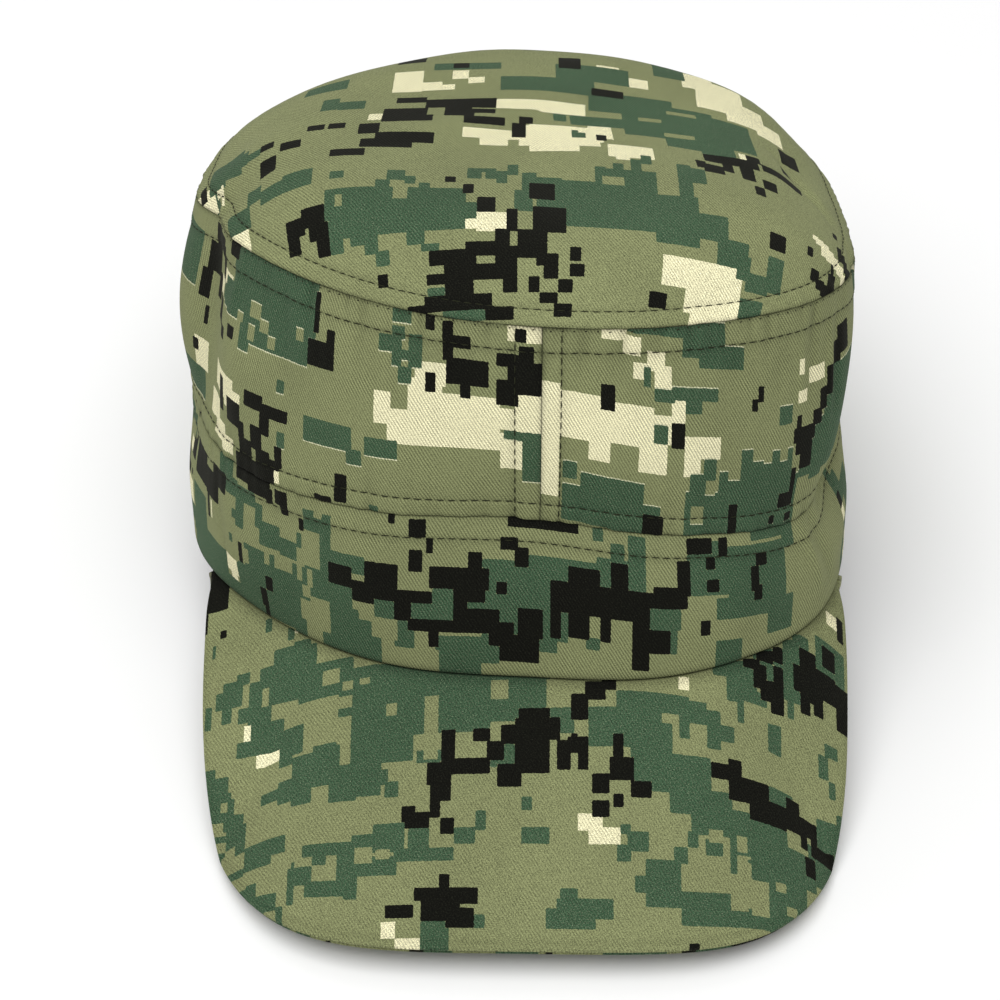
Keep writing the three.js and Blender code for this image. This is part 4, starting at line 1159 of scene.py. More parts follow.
@dataclass(frozen=True)
class TwillFinish:
    """Cotton twill: its ribs, sheen and unevenness under the print. Lengths are millimetres."""

    pattern: BlockPrint = BlockPrint()
    rib: float = 0.78
    rib_heading: float = math.radians(31.0)
    pick: float = 0.55
    sway: float = 2.6
    level: float = 0.87
    darkest: float = 0.3
    groove_shade: float = 0.72
    rib_middle: float = 0.4
    rib_patch: float = 0.9
    groove_depth: float = 0.10
    grain_shade: float = 1.25
    grain_scale: float = 3.9
    cloud_shade: float = 0.30
    roughness: float = 0.9
    sheen: float = 0.04
    gloss: float = 0.08
    reverse_pale: float = 0.42

    def material(self, name: str, side: Side, slip: float = 0.0) -> bpy.types.Material:
        """The material of one side of a printed cloth.

        Args:
            name: The material's name.
            side: Which side of the cloth it covers.
            slip: Which way the green slipped in printing, 1 up or -1 down, or 0.

        Returns:
            The new material.
        """
        made = bpy.data.materials.new(name)
        made.use_nodes = True
        graph = Graph(made.node_tree)
        shader = made.node_tree.nodes["Principled BSDF"]
        plane = graph.split(graph.node("ShaderNodeUVMap", uv_map="cloth").outputs[0])
        u, v = (graph.math("MULTIPLY", plane[k], 1 / MM) for k in (0, 1))
        paint = self.pattern.apply(graph, u, v, slip)
        rib = self.ribs(graph, u, v)
        if side is Side.REVERSE:
            paint = graph.tint(self.reverse_pale, paint, colour(176, 178, 144))
        paint = graph.tint(1.0, paint, self.shade(graph, u, v, rib), "MULTIPLY")
        graph.feed(shader.inputs["Base Color"], paint)
        shader.inputs["Roughness"].default_value = self.roughness
        shader.inputs["Specular IOR Level"].default_value = self.gloss
        shader.inputs["Sheen Weight"].default_value = self.sheen
        shader.inputs["Sheen Roughness"].default_value = 0.5
        shader.inputs["Sheen Tint"].default_value = colour(214, 216, 190)
        bump = graph.node("ShaderNodeBump")
        bump.inputs["Strength"].default_value = 0.55
        bump.inputs["Distance"].default_value = self.groove_depth * MM
        graph.feed(bump.inputs["Height"], rib)
        graph.feed(shader.inputs["Normal"], bump.outputs[0])
        return made

    def ribs(self, graph: Graph, u: object, v: object) -> bpy.types.NodeSocket:
        """Height of the slanting ribs, from 0 in a groove to about 1 on a rib."""
        across = graph.math("ADD", graph.math("MULTIPLY", u, math.cos(self.rib_heading)),
                            graph.math("MULTIPLY", v, math.sin(self.rib_heading)))
        sway = graph.noise(graph.vector(u, v, 5.0), 0.5, 2.0).outputs["Fac"]
        even = graph.math("MULTIPLY", across, math.tau / self.rib)
        phase = graph.math("MULTIPLY_ADD", sway, self.sway, even)
        wave = graph.math("MULTIPLY_ADD", graph.math("COSINE", phase), 0.5, 0.5)
        thread = graph.math("COSINE", graph.math("MULTIPLY", v, math.tau / self.pick))
        beat = graph.math("MULTIPLY_ADD", thread, 0.2, 0.8)
        return graph.math("MULTIPLY", wave, beat)

    def shade(self, graph: Graph, u: object, v: object, rib: object) -> bpy.types.NodeSocket:
        """A grey of painted shade in grooves, seams, puckers and creases, and slightly uneven tone."""
        cloud = graph.noise(graph.vector(u, v, 9.0), 0.035, 3.0).outputs["Fac"]
        speck = graph.noise(graph.vector(u, v, 2.0), self.grain_scale, 1.0).outputs["Fac"]
        patch = graph.noise(graph.vector(u, v, 21.0), 0.16, 2.0).outputs["Fac"]
        strength = graph.math("MULTIPLY_ADD", graph.math("SUBTRACT", patch, 0.5), 2 * self.rib_patch, 1.0)
        swing = graph.math("MULTIPLY", graph.math("SUBTRACT", rib, self.rib_middle), self.groove_shade)
        level = graph.math("MULTIPLY_ADD", swing, strength, self.level)
        level = graph.math("MULTIPLY_ADD", graph.math("SUBTRACT", cloud, 0.5), self.cloud_shade, level)
        level = graph.math("MULTIPLY_ADD", graph.math("SUBTRACT", speck, 0.5), self.grain_shade, level)
        # Painted shade kept on the mesh: darker at seams, stitch lines, pucker valleys, creases and the
        # peak's edges.
        painted_shade = graph.node("ShaderNodeAttribute", attribute_name="shade").outputs["Fac"]
        level = graph.math("MAXIMUM", level, self.darkest)
        level = graph.math("MULTIPLY", level, graph.math("SUBTRACT", 1.0, painted_shade))
        return graph.vector(level, level, level)


@dataclass(frozen=True)
class ThreadFinish:
    """Spun sewing thread, slightly glossy, with the twist of its plies."""

    base: Colour = colour(36, 38, 22)
    twist: float = 0.45
    roughness: float = 0.8

    def material(self) -> bpy.types.Material:
        """The thread's material."""
        made = bpy.data.materials.new("sewing_thread")
        made.use_nodes = True
        graph = Graph(made.node_tree)
        shader = made.node_tree.nodes["Principled BSDF"]
        place = graph.node("ShaderNodeTexCoord").outputs["Object"]
        fibre = graph.noise(place, 1 / (self.twist * MM), 2.0).outputs["Fac"]
        light = graph.math("MULTIPLY_ADD", fibre, 0.9, 0.55)
        graph.feed(shader.inputs["Base Color"],
                   graph.tint(1.0, self.base, graph.vector(light, light, light), "MULTIPLY"))
        shader.inputs["Roughness"].default_value = self.roughness
        shader.inputs["Specular IOR Level"].default_value = 0.15
        bump = graph.node("ShaderNodeBump")
        bump.inputs["Strength"].default_value = 0.4
        bump.inputs["Distance"].default_value = 0.05 * MM
        graph.feed(bump.inputs["Height"], fibre)
        graph.feed(shader.inputs["Normal"], bump.outputs[0])
        return made


@dataclass(frozen=True)
class SeamStrip:
    """The doubled cloth beside a seam, held down by a row of stitches. Lengths are millimetres."""

    stitch: float
    height: float = 0.38
    groove: float = 0.3

    def relief(self, distance: np.ndarray) -> np.ndarray:
        """Height of the cloth at a distance from the seam."""
        strip = self.height * (1.0 - smoothstep(self.stitch - 0.2, self.stitch + 1.3, distance))
        return strip - self.groove * bell(distance - self.stitch, 0.55)

    def shade(self, distance: np.ndarray) -> np.ndarray:
        """How much painted shade darkens the cloth, from 0 to 1, in its seam and in its row of stitches."""
        beside = 0.10 * bell(distance - self.stitch - 0.8, 0.7) + 0.25 * bell(distance - self.stitch, 0.35)
        return beside + 0.45 * bell(distance, 0.35) + 0.06 * bell(distance, 1.5)


@dataclass(frozen=True)
class Gather:
    """Small upright waves that a seam draws into the cloth. Lengths are millimetres."""

    height: float
    fade: float
    length: float
    stretch: float
    seed: int

    def relief(self, u: np.ndarray, distance: np.ndarray) -> np.ndarray:
        """Height of the waves at a place along the seam and a distance from it."""
        waves = ripples(u, distance, self.length, self.seed, self.stretch)
        return self.height * np.exp(-distance / self.fade) * waves


def edge_rows(bottom: Sequence[float], top: Sequence[float], middle: int, length: np.ndarray) -> np.ndarray:
    """Row places between two edges.

    Args:
        bottom: Distances from the lower edge, in millimetres.
        top: Distances from the upper edge, in millimetres, nearest first.
        middle: How many rows lie evenly between them.
        length: Length from edge to edge at each column, in millimetres.

    Returns:
        Shares of the length, one row for each row of the mesh.
    """
    low = np.array(bottom)[:, None] / length
    high = 1.0 - np.array(top)[::-1, None] / length
    share = np.linspace(0.0, 1.0, middle + 2)[1:-1, None]
    return np.concatenate([low, low[-1] + (high[0] - low[-1]) * share, high])


def near(stitch: float, last: float, roll: float) -> list[float]:
    """Distances from an edge that are close together at its roll and at its stitch line."""
    rolled = [0.0, 0.12 * roll, 0.4 * roll, roll]
    between = list(np.arange(roll + 0.9, stitch - 0.9, 0.9))
    line = [stitch + step for step in (-0.9, -0.5, -0.2, 0.1, 0.4, 0.8, 1.4)]
    return rolled + between + line + list(np.arange(stitch + 2.3, last, 1.0))


def roll_shares(count: int, edges: int, both: bool) -> np.ndarray:
    """How far each row turns in: wholly at an edge, and not at all past the first few rows."""
    curve = np.array([1.0, 0.55, 0.12, 0.0])[:edges]
    shares = np.zeros(count)
    shares[:edges] = curve
    if both:
        shares[-edges:] = curve[::-1]
    return shares


@dataclass
class Wall:
    """The band and the two side panels: the upright cloth of the crown."""

    form: CapForm
    placement: Placement
    finish: TwillFinish
    column_step: float = 0.62
    top_stitch: float = 6.6
    low_stitch: float = 5.0
    band_stitch: float = 6.4
    seam_tack: float = 0.5
    tack_reach: float = 66.0
    front_stitch_left: float = 4.7
    front_stitch_right: float = 6.4
    print_start: float = 3.0
    grain_left: float = 0.09
    grain_reach: float = 60.0
    band_gather: Gather = Gather(height=0.2, fade=7.0, length=5.0, stretch=6.0, seed=21)
    high_gather: Gather = Gather(height=0.34, fade=11.0, length=4.2, stretch=7.0, seed=22)
    low_gather: Gather = Gather(height=0.22, fade=7.0, length=5.0, stretch=6.0, seed=23)
    pucker_shade: float = 0.5
    crease_shade: float = 0.12
    rim_shade: float = 0.3
    darkest_shade: float = 0.7
    side_calm: float = 0.8
    calm_start: float = 66.0
    calm_end: float = 96.0
    creases: dict[Cut, tuple[Crease, ...]] = field(default_factory=dict)

    def seam_walk(self) -> tuple[np.ndarray, np.ndarray]:
        """Angles round the wall, and the length walked along the middle seam from its front."""
        angles = np.linspace(-200.0, 200.0, 1601)
        ring = self.form.ring(angles, 1)
        walked = walked_along(ring)
        return angles, walked - np.interp(self.print_start, angles, walked)

    def heights(self, angle: np.ndarray, upper: bool) -> np.ndarray:
        """Height of the panels or of the band at each angle."""
        low = 1 if upper else 0
        return np.linalg.norm(self.form.ring(angle, low + 1) - self.form.ring(angle, low), axis=-1)

    def puckers(self, u: np.ndarray, up: np.ndarray, down: np.ndarray, upper: bool) -> np.ndarray:
        """Height of the small upright waves that the seams draw into the cloth.

        Args:
            u: Place along the seam, in millimetres.
            up: Distance from the lower seam.
            down: Distance from the upper seam.
            upper: Whether the cloth is a side panel, and not the band.

        Returns:
            The height at each place.
        """
        if not upper:
            return self.band_gather.relief(u, down)
        calm = self.side_calm * smoothstep(self.calm_start, self.calm_end, np.abs(u))
        return (1.0 - calm) * self.high_gather.relief(u, down) + self.low_gather.relief(u, up)

    def surface(self, cut: Cut) -> Surface:
        """The outer face of one of the wall's pieces."""
        upper = cut is not Cut.BAND
        low = 1.0 if upper else 0.0
        angles, walked = self.seam_walk()

        def base(angle: np.ndarray, level: np.ndarray) -> np.ndarray:
            return self.form.wall(angle, level, upper)

        def cloth(angle: np.ndarray, level: np.ndarray) -> tuple[np.ndarray, np.ndarray]:
            u = np.interp(angle, angles, walked)
            v = (level - 1.0) * self.heights(angle, upper)
            if cut is Cut.LEFT:
                v = v + self.grain_left * self.grain_reach * np.tanh(u / self.grain_reach)
            return u, v

        front = SeamStrip(self.front_stitch_left if cut is Cut.LEFT else self.front_stitch_right)
        seam_place = np.interp(self.form.front_seam, angles, walked)

        def places(angle: np.ndarray, level: np.ndarray) -> tuple[np.ndarray, ...]:
            """Place along the cloth, distances from its lower and upper seams, and depth of its creases."""
            height = self.heights(angle, upper)
            u = np.interp(angle, angles, walked)
            creased = crease_relief(u, (level - 1.0) * height, self.creases.get(cut, ()))
            return u, (level - low) * height, (low + 1.0 - level) * height, creased

        def relief(angle: np.ndarray, level: np.ndarray) -> np.ndarray:
            u, up, down, creased = places(angle, level)
            total = 0.45 * ripples(u, up, 46.0, 3) * smoothstep(0.0, 12.0, up) * smoothstep(0.0, 12.0, down)
            total = total + self.puckers(u, up, down, upper) - creased
            if not upper:
                return total + SeamStrip(self.band_stitch).relief(down)
            back = np.radians(np.abs(np.abs(angle) - 180.0)) * self.form.back_reach
            total = total + SeamStrip(self.top_stitch).relief(down) + SeamStrip(self.low_stitch).relief(up)
            total = total + SeamStrip(self.front_stitch_left).relief(back)
            return total + front.relief(np.abs(u - seam_place))

        # Painted shade: darker in the seams, stitch lines, pucker valleys and creases, and along the band's
        # foot.
        def shade(angle: np.ndarray, level: np.ndarray) -> np.ndarray:
            u, up, down, creased = places(angle, level)
            folded = self.pucker_shade * np.maximum(0.0, -self.puckers(u, up, down, upper))
            folded = folded + self.crease_shade * np.maximum(0.0, creased)
            if not upper:
                return SeamStrip(self.band_stitch).shade(down) + self.rim_shade * bell(up, 1.6) + folded
            dark = SeamStrip(self.top_stitch).shade(down) + SeamStrip(self.low_stitch).shade(up) + folded
            return np.minimum(self.darkest_shade, dark + front.shade(np.abs(u - seam_place)))

        return Surface(base, cloth, relief, 0.4, 0.01, (low, low + 1.0), 1.0, shade)

    def columns(self, start: float, end: float, stitches: tuple[float, float]) -> np.ndarray:
        """Angles of a panel's columns, close together at both ends."""
        angles, walked = self.seam_walk()
        first, last = np.interp([start, end], angles, walked)
        rising = 1.0 if last > first else -1.0
        span = abs(last - first)
        head = np.array(near(stitches[0], stitches[0] + 4.0, self.form.cloth / 4))
        tail = span - np.array(near(stitches[1], stitches[1] + 4.0, self.form.cloth / 4))[::-1]
        count = int((tail[0] - head[-1]) / self.column_step / 1.35)
        places = np.concatenate([head, np.linspace(head[-1], tail[0], count)[1:-1], tail])
        return np.interp(first + rising * places, walked, angles)

    def panel(self, cut: Cut) -> bpy.types.Object:
        """Builds one of the two side panels."""
        left = cut is Cut.LEFT
        seam = self.form.front_seam
        hair = 0.03
        back_stitch = self.front_stitch_left
        if left:
            angles = self.columns(seam + hair, 180.0 - hair, (self.front_stitch_left, back_stitch))
        else:
            angles = self.columns(seam - hair, -180.0 + hair, (self.front_stitch_right, back_stitch))[::-1]
        length = self.heights(angles, True)
        bottom = near(self.low_stitch, self.low_stitch + 6.0, self.form.cloth / 4)
        top = near(self.top_stitch, self.top_stitch + 8.0, self.form.cloth / 4)
        levels = 1.0 + edge_rows(bottom, top, 24, length)
        name = f"{cut.value}_cloth"
        mesh = ClothMesh(name, self.surface(cut), self.placement, self.form.cloth, chart=CHARTS[cut])
        made = mesh.build(angles, levels, roll_shares(len(levels), 4, True))
        slip = -1.0 if left else 1.0
        made.data.materials.append(self.finish.material(f"{name}_print", Side.PRINTED, slip))
        made.data.materials.append(self.finish.material(f"{name}_reverse", Side.REVERSE))
        return made

    def band(self) -> bpy.types.Object:
        """Builds the band round the head opening."""
        count = int(2 * math.pi * self.form.front_reach / (self.column_step * 1.45))
        angles = np.linspace(-180.0, 180.0, count + 1)
        length = self.heights(angles, False)
        bottom = [0.0, 0.15, 0.5, 1.2, 2.2, 3.4, 4.8]
        top = near(self.band_stitch, self.band_stitch + 7.0, self.form.band_wall / 6)
        levels = edge_rows(bottom, top, 20, length)
        mesh = ClothMesh("band_cloth", self.surface(Cut.BAND), self.placement, self.form.band_wall,
                         closed=True, chart=CHARTS[Cut.BAND])
        made = mesh.build(angles, levels, roll_shares(len(levels), 4, True))
        made.data.materials.append(self.finish.material("band_print", Side.PRINTED))
        made.data.materials.append(self.finish.material("band_inside", Side.REVERSE))
        return made

    def stitch_lines(self) -> dict[str, list[tuple[np.ndarray, np.ndarray]]]:
        """Lines of thread on the wall, by row: points and outward directions, in the rim frame."""
        seam = self.form.front_seam
        lines: dict[str, list[tuple[np.ndarray, np.ndarray]]] = {}

        def run(cut: Cut, angle: np.ndarray, level: np.ndarray) -> tuple[np.ndarray, np.ndarray]:
            face = self.surface(cut)
            return face.at(angle, level), face.normal(angle, level)

        panel_rows = (("panel_high", self.top_stitch, True), ("panel_low", self.low_stitch, False))
        for row, distance, from_top in panel_rows:
            lines[row] = []
            for cut, ends in ((Cut.LEFT, (seam + 0.4, 179.6)), (Cut.RIGHT, (-179.6, seam - 0.4))):
                angle = np.linspace(*ends, 700)
                share = distance / self.heights(angle, True)
                lines[row].append(run(cut, angle, 2.0 - share if from_top else 1.0 + share))
        lines["panel_seam"] = []
        tacked = (Cut.LEFT, (seam + 0.4, self.tack_reach)), (Cut.RIGHT, (-self.tack_reach, seam - 0.4))
        for cut, ends in tacked:
            around = np.linspace(*ends, 300)
            lines["panel_seam"].append(run(cut, around, 2.0 - self.seam_tack / self.heights(around, True)))
        angle = np.linspace(-180.0, 180.0, 1400)
        lines["band_high"] = [run(Cut.BAND, angle, 1.0 - self.band_stitch / self.heights(angle, False))]
        level = np.linspace(1.02, 1.98, 200)
        angles, walked = self.seam_walk()
        lines["panel_front"], lines["panel_back"] = [], []
        for cut, distance in ((Cut.LEFT, self.front_stitch_left), (Cut.RIGHT, -self.front_stitch_right)):
            start = np.interp(seam, angles, walked)
            place = np.full_like(level, np.interp(start + distance, walked, angles))
            lines["panel_front"].append(run(cut, place, level))
        for cut, sign in ((Cut.LEFT, 1.0), (Cut.RIGHT, -1.0)):
            off = math.degrees(self.front_stitch_left / self.form.back_reach)
            lines["panel_back"].append(run(cut, np.full_like(level, sign * (180.0 - off)), level))
        return lines


@dataclass
class CrownTop:
    """The domed top of the crown."""

    form: CapForm
    placement: Placement
    finish: TwillFinish
    stitch: float = 5.5
    column_step: float = 1.0
    ring_step: float = 1.25
    climb: float = 9.6
    climb_start: float = -84.0
    climb_length: float = 40.0
    climb_half_width: float = 66.0
    gather: Gather = Gather(height=0.22, fade=6.0, length=4.6, stretch=6.0, seed=25)
    creases: tuple[Crease, ...] = ()

    def reach(self, angle: np.ndarray) -> np.ndarray:
        """Length over the dome from the seam to the middle, at each angle."""
        inset = np.linspace(0.0, 1.0, 81)
        points = self.form.top(angle[..., None], inset)
        return np.linalg.norm(np.diff(points, axis=-2), axis=-1).sum(axis=-1)

    def walk(self) -> tuple[np.ndarray, np.ndarray]:
        """Insets, and the share of the way over the dome walked to each, at a typical angle."""
        inset = np.linspace(0.0, 1.0, 401)
        points = self.form.top(np.full_like(inset, 200.0), inset)
        walked = walked_along(points)
        return inset, walked / walked[-1]

    def surface(self) -> Surface:
        """The outer face of the top."""
        inset_table, walk_table = self.walk()
        middle = self.form.middle()
        ring = np.linspace(-200.0, 200.0, 801)
        reach_table = self.reach(ring)

        def base(angle: np.ndarray, inset: np.ndarray) -> np.ndarray:
            return self.form.top(angle, inset)

        def cloth(angle: np.ndarray, inset: np.ndarray) -> tuple[np.ndarray, np.ndarray]:
            seam = self.form.ring(angle, 2) - middle
            way = seam[..., :2] / np.linalg.norm(seam[..., :2], axis=-1, keepdims=True)
            radius = np.interp(angle, ring, reach_table) * (1.0 - np.interp(inset, inset_table, walk_table))
            u, v = way[..., 0] * radius, way[..., 1] * radius
            risen = 1.0 - np.exp(-np.maximum(v - self.climb_start, 0.0) / self.climb_length)
            across = np.maximum(1.0 - (u / self.climb_half_width) ** 4, -0.3)
            return u, v - self.climb * risen * across

        def relief(angle: np.ndarray, inset: np.ndarray) -> np.ndarray:
            reach = np.interp(angle, ring, reach_table)
            distance = reach * np.interp(inset, inset_table, walk_table)
            u, v = cloth(angle, inset)
            around = np.radians(angle) * self.form.front_reach
            total = 0.5 * ripples(u, v, 55.0, 5) * smoothstep(0.0, 14.0, distance)
            total = total + SeamStrip(self.stitch).relief(distance)
            total = total + self.gather.relief(around, distance)
            return total - crease_relief(u, v, self.creases)

        def shade(angle: np.ndarray, inset: np.ndarray) -> np.ndarray:
            distance = np.interp(angle, ring, reach_table) * np.interp(inset, inset_table, walk_table)
            return SeamStrip(self.stitch).shade(distance)

        return Surface(base, cloth, relief, 0.4, 0.004, (0.0, 1.0), 1.0, shade)

    def build(self) -> bpy.types.Object:
        """Builds the top."""
        count = int(2 * math.pi * self.form.front_reach / (self.column_step * 1.1))
        angles = np.linspace(-180.0, 180.0, count + 1)
        inset_table, walk_table = self.walk()
        reach = self.reach(angles)
        first = near(self.stitch, self.stitch + 5.0, self.form.cloth / 4)
        rest = int((reach.mean() - first[-1]) / self.ring_step / 1.2)
        share = np.linspace(0.0, 1.0, rest + 1)[1:, None]
        start = np.array(first)[:, None] / reach
        walked = np.concatenate([start, start[-1] + (1.0 - start[-1]) * share])
        insets = np.interp(walked, walk_table, inset_table)
        mesh = ClothMesh("crown_top_cloth", self.surface(), self.placement, self.form.cloth,
                         closed=True, pointed=True, chart=CHARTS[Cut.TOP])
        made = mesh.build(angles, insets, roll_shares(len(insets), 4, False))
        made.data.materials.append(self.finish.material("crown_top_print", Side.PRINTED))
        made.data.materials.append(self.finish.material("crown_top_reverse", Side.REVERSE))
        return made

    def stitch_lines(self) -> list[tuple[np.ndarray, np.ndarray]]:
        """The line of thread beside the top's seam."""
        angle = np.linspace(-180.0, 180.0, 1400)
        inset_table, walk_table = self.walk()
        inset = np.interp(self.stitch / self.reach(angle), walk_table, inset_table)
        face = self.surface()
        return [(face.at(angle, inset), face.normal(angle, inset))]


@dataclass
class Peak:
    """The stiff peak: an upper cloth over its stiffener, and an under cloth."""

    form: CapForm
    placement: Placement
    finish: TwillFinish
    gap: float = 0.12
    tuck: float = 2.2
    end_trim: float = 1.6
    lean: float = 0.22
    lean_start: float = 44.0
    lean_ease: float = 4.0
    root_turn: float = 16.0

    def surface(self, cut: Cut) -> Surface:
        """The upper face of one side of the peak."""
        below = 0.0 if cut is Cut.PEAK_UPPER else self.form.upper_wall + self.gap
        sample = self.form.peak
        step = 0.01

        def base(along: np.ndarray, out: np.ndarray) -> np.ndarray:
            along, out = np.broadcast_arrays(np.asarray(along, float), np.asarray(out, float))
            ahead = np.clip(out, 0.0, 1.0)
            points = sample(along, ahead)
            across = sample(np.clip(along + step, -1, 1), ahead) - sample(np.clip(along - step, -1, 1), ahead)
            forward = sample(along, np.clip(ahead + step, 0, 1)) - sample(along, np.clip(ahead - step, 0, 1))
            down = np.cross(across, forward)
            down = down / np.linalg.norm(down, axis=-1, keepdims=True)
            from_root = np.linalg.norm(points - sample(along, 0 * ahead), axis=-1)
            square = smoothstep(0.0, self.root_turn, from_root)
            down = down * square[..., None] + np.array([0.0, 0.0, -1.0]) * (1.0 - square[..., None])
            down = down / np.linalg.norm(down, axis=-1, keepdims=True)
            inwards = -points
            inwards[..., 2] = 0.0
            inwards = inwards / np.linalg.norm(inwards, axis=-1, keepdims=True)
            trimmed = self.end_trim * smoothstep(0.9, 1.0, np.abs(along)) * (1.0 - square)
            tucked = np.clip(-out, 0.0, 1.0) * self.tuck + trimmed
            return points + down * below + inwards * tucked[..., None]

        def cloth(along: np.ndarray, out: np.ndarray) -> tuple[np.ndarray, np.ndarray]:
            points = base(along, out)
            slope = math.hypot(self.form.peak_reach, self.form.peak_drop) / self.form.peak_reach
            past = np.logaddexp(0.0, (np.abs(points[..., 0]) - self.lean_start) / self.lean_ease)
            lean = self.lean * self.lean_ease * past
            return points[..., 0], (points[..., 1] + self.form.front_reach) * slope - lean

        def relief(along: np.ndarray, out: np.ndarray) -> np.ndarray:
            u, v = cloth(along, out)
            return 0.22 * (ripples(u, v, 50.0, 8) + 1.1) * smoothstep(0.0, 0.3, out)

        # Painted shade: darker just inside the peak's rolled edge and along its root at the band.
        def shade(along: np.ndarray, out: np.ndarray) -> np.ndarray:
            points = base(along, out)
            inwards = np.linalg.norm(points - sample(along, np.ones_like(out)), axis=-1)
            from_band = np.linalg.norm(points - sample(along, np.zeros_like(out)), axis=-1)
            return 0.12 * bell(inwards - 2.0, 1.0) + 0.3 * bell(from_band, 2.0)

        return Surface(base, cloth, relief, 0.004, 0.004, (0.0, 1.0), -1.0, shade)

    def build(self, cut: Cut) -> bpy.types.Object:
        """Builds one side of the peak."""
        wall = self.form.upper_wall if cut is Cut.PEAK_UPPER else self.form.under_wall
        half = wall / 2
        end = np.array([0.998, 0.9993, 1.0])
        alongs = np.concatenate([-end[::-1], np.linspace(-0.9955, 0.9955, 300), end])
        reach = np.linalg.norm(self.form.peak(alongs, np.ones_like(alongs))
                               - self.form.peak(alongs, np.zeros_like(alongs)), axis=-1)
        edge = np.minimum(half, reach * 0.25)
        inner = np.linspace(0.0, 1.0, 52)[:-1, None] * (1.0 - 2.2 * edge / reach)
        outer = [1.0 - k * edge / reach for k in (2.2, 1.5, 1.0, 0.4, 0.12, 0.0)]
        outs = np.concatenate([np.full((1, len(alongs)), -1.0), inner, np.array(outer)])
        surface = self.surface(cut)
        mesh = ClothMesh(f"{cut.value}_cloth", surface, self.placement, wall, flipped=True, chart=CHARTS[cut])
        roll = np.zeros(len(outs))
        roll[-4:] = (0.0, 0.12, 0.55, 1.0)
        made = mesh.build(alongs, outs, roll)
        made.data.materials.append(self.finish.material(f"{cut.value}_print", Side.PRINTED))
        made.data.materials.append(self.finish.material(f"{cut.value}_back", Side.REVERSE))
        return made


@dataclass(frozen=True)
class Stitching:
    """Rows of lockstitch in relief. Lengths are millimetres."""

    placement: Placement
    pitch: float = 2.9
    gap: float = 0.1
    radius: float = 0.17
    lift: float = 0.03
    sink: float = 0.3
    sides: int = 6
    rings: int = 7

    def row(self, name: str, lines: Sequence[tuple[np.ndarray, np.ndarray]]) -> bpy.types.Object:
        """Builds a row of stitches along one or more lines.

        Args:
            name: The piece's name.
            lines: Points and outward directions of each line, in the rim frame.

        Returns:
            The row as one object.
        """
        points, faces = [], []
        for path, out in lines:
            self._sew(path, out, points, faces)
        mesh = bpy.data.meshes.new(name)
        mesh.from_pydata(self.placement.carry(np.concatenate(points)).tolist(), [], faces)
        mesh.polygons.foreach_set("use_smooth", np.ones(len(faces), bool))
        mesh.update()
        return link(mesh)

    def _sew(
        self, path: np.ndarray, out: np.ndarray, points: list[np.ndarray], faces: list[list[int]]
    ) -> None:
        """Adds the stitches of one line."""
        walked = walked_along(path)
        count = int(walked[-1] / self.pitch)
        pitch = walked[-1] / count
        share = np.linspace(0.0, 1.0, self.rings)
        at = (np.arange(count)[:, None] * pitch + self.gap / 2 + share * (pitch - self.gap)).ravel()
        centre = np.stack([np.interp(at, walked, path[:, k]) for k in range(3)], 1)
        way_out = np.stack([np.interp(at, walked, out[:, k]) for k in range(3)], 1)
        ahead = np.stack([np.interp(at + 0.1, walked, path[:, k]) for k in range(3)], 1)
        behind = np.stack([np.interp(at - 0.1, walked, path[:, k]) for k in range(3)], 1)
        along = (ahead - behind) / np.linalg.norm(ahead - behind, axis=1, keepdims=True)
        aside = np.cross(along, way_out)
        aside /= np.linalg.norm(aside, axis=1, keepdims=True)
        arch = np.tile(np.sin(math.pi * share) ** 0.6, count)
        centre = centre + way_out * (arch * (self.lift + self.sink) - self.sink)[:, None]
        thick = self.radius * (0.55 + 0.45 * arch)
        angle = np.arange(self.sides) / self.sides * math.tau
        tube = (centre[:, None] + aside[:, None] * (np.cos(angle) * thick[:, None])[..., None]
                + way_out[:, None] * (np.sin(angle) * thick[:, None])[..., None])
        start = sum(len(p) for p in points)
        points.append(tube.reshape(-1, 3))
        sides, rings = self.sides, self.rings
        for stitch in range(count):
            first = start + stitch * rings * sides
            for ring in range(rings - 1):
                low = first + ring * sides
                faces.extend([low + k, low + (k + 1) % sides, low + sides + (k + 1) % sides, low + sides + k]
                             for k in range(sides))
            faces.append([first + k for k in reversed(range(sides))])
            faces.append([first + (rings - 1) * sides + k for k in range(sides)])


@dataclass(frozen=True)
class Lamp:
    """A square soft light aimed at the cap. Place and size are metres, and power is watts."""

    name: str
    place: tuple[float, float, float]
    size: float
    power: float

    def build(self, target: Vector) -> None:
        """Adds the light to the scene."""
        lamp = bpy.data.lights.new(self.name, "AREA")
        lamp.energy = self.power
        lamp.size = self.size
        made = bpy.data.objects.new(self.name, lamp)
        made.location = self.place
        made.rotation_euler = (target - Vector(self.place)).to_track_quat("-Z", "Y").to_euler()
        bpy.context.scene.collection.objects.link(made)


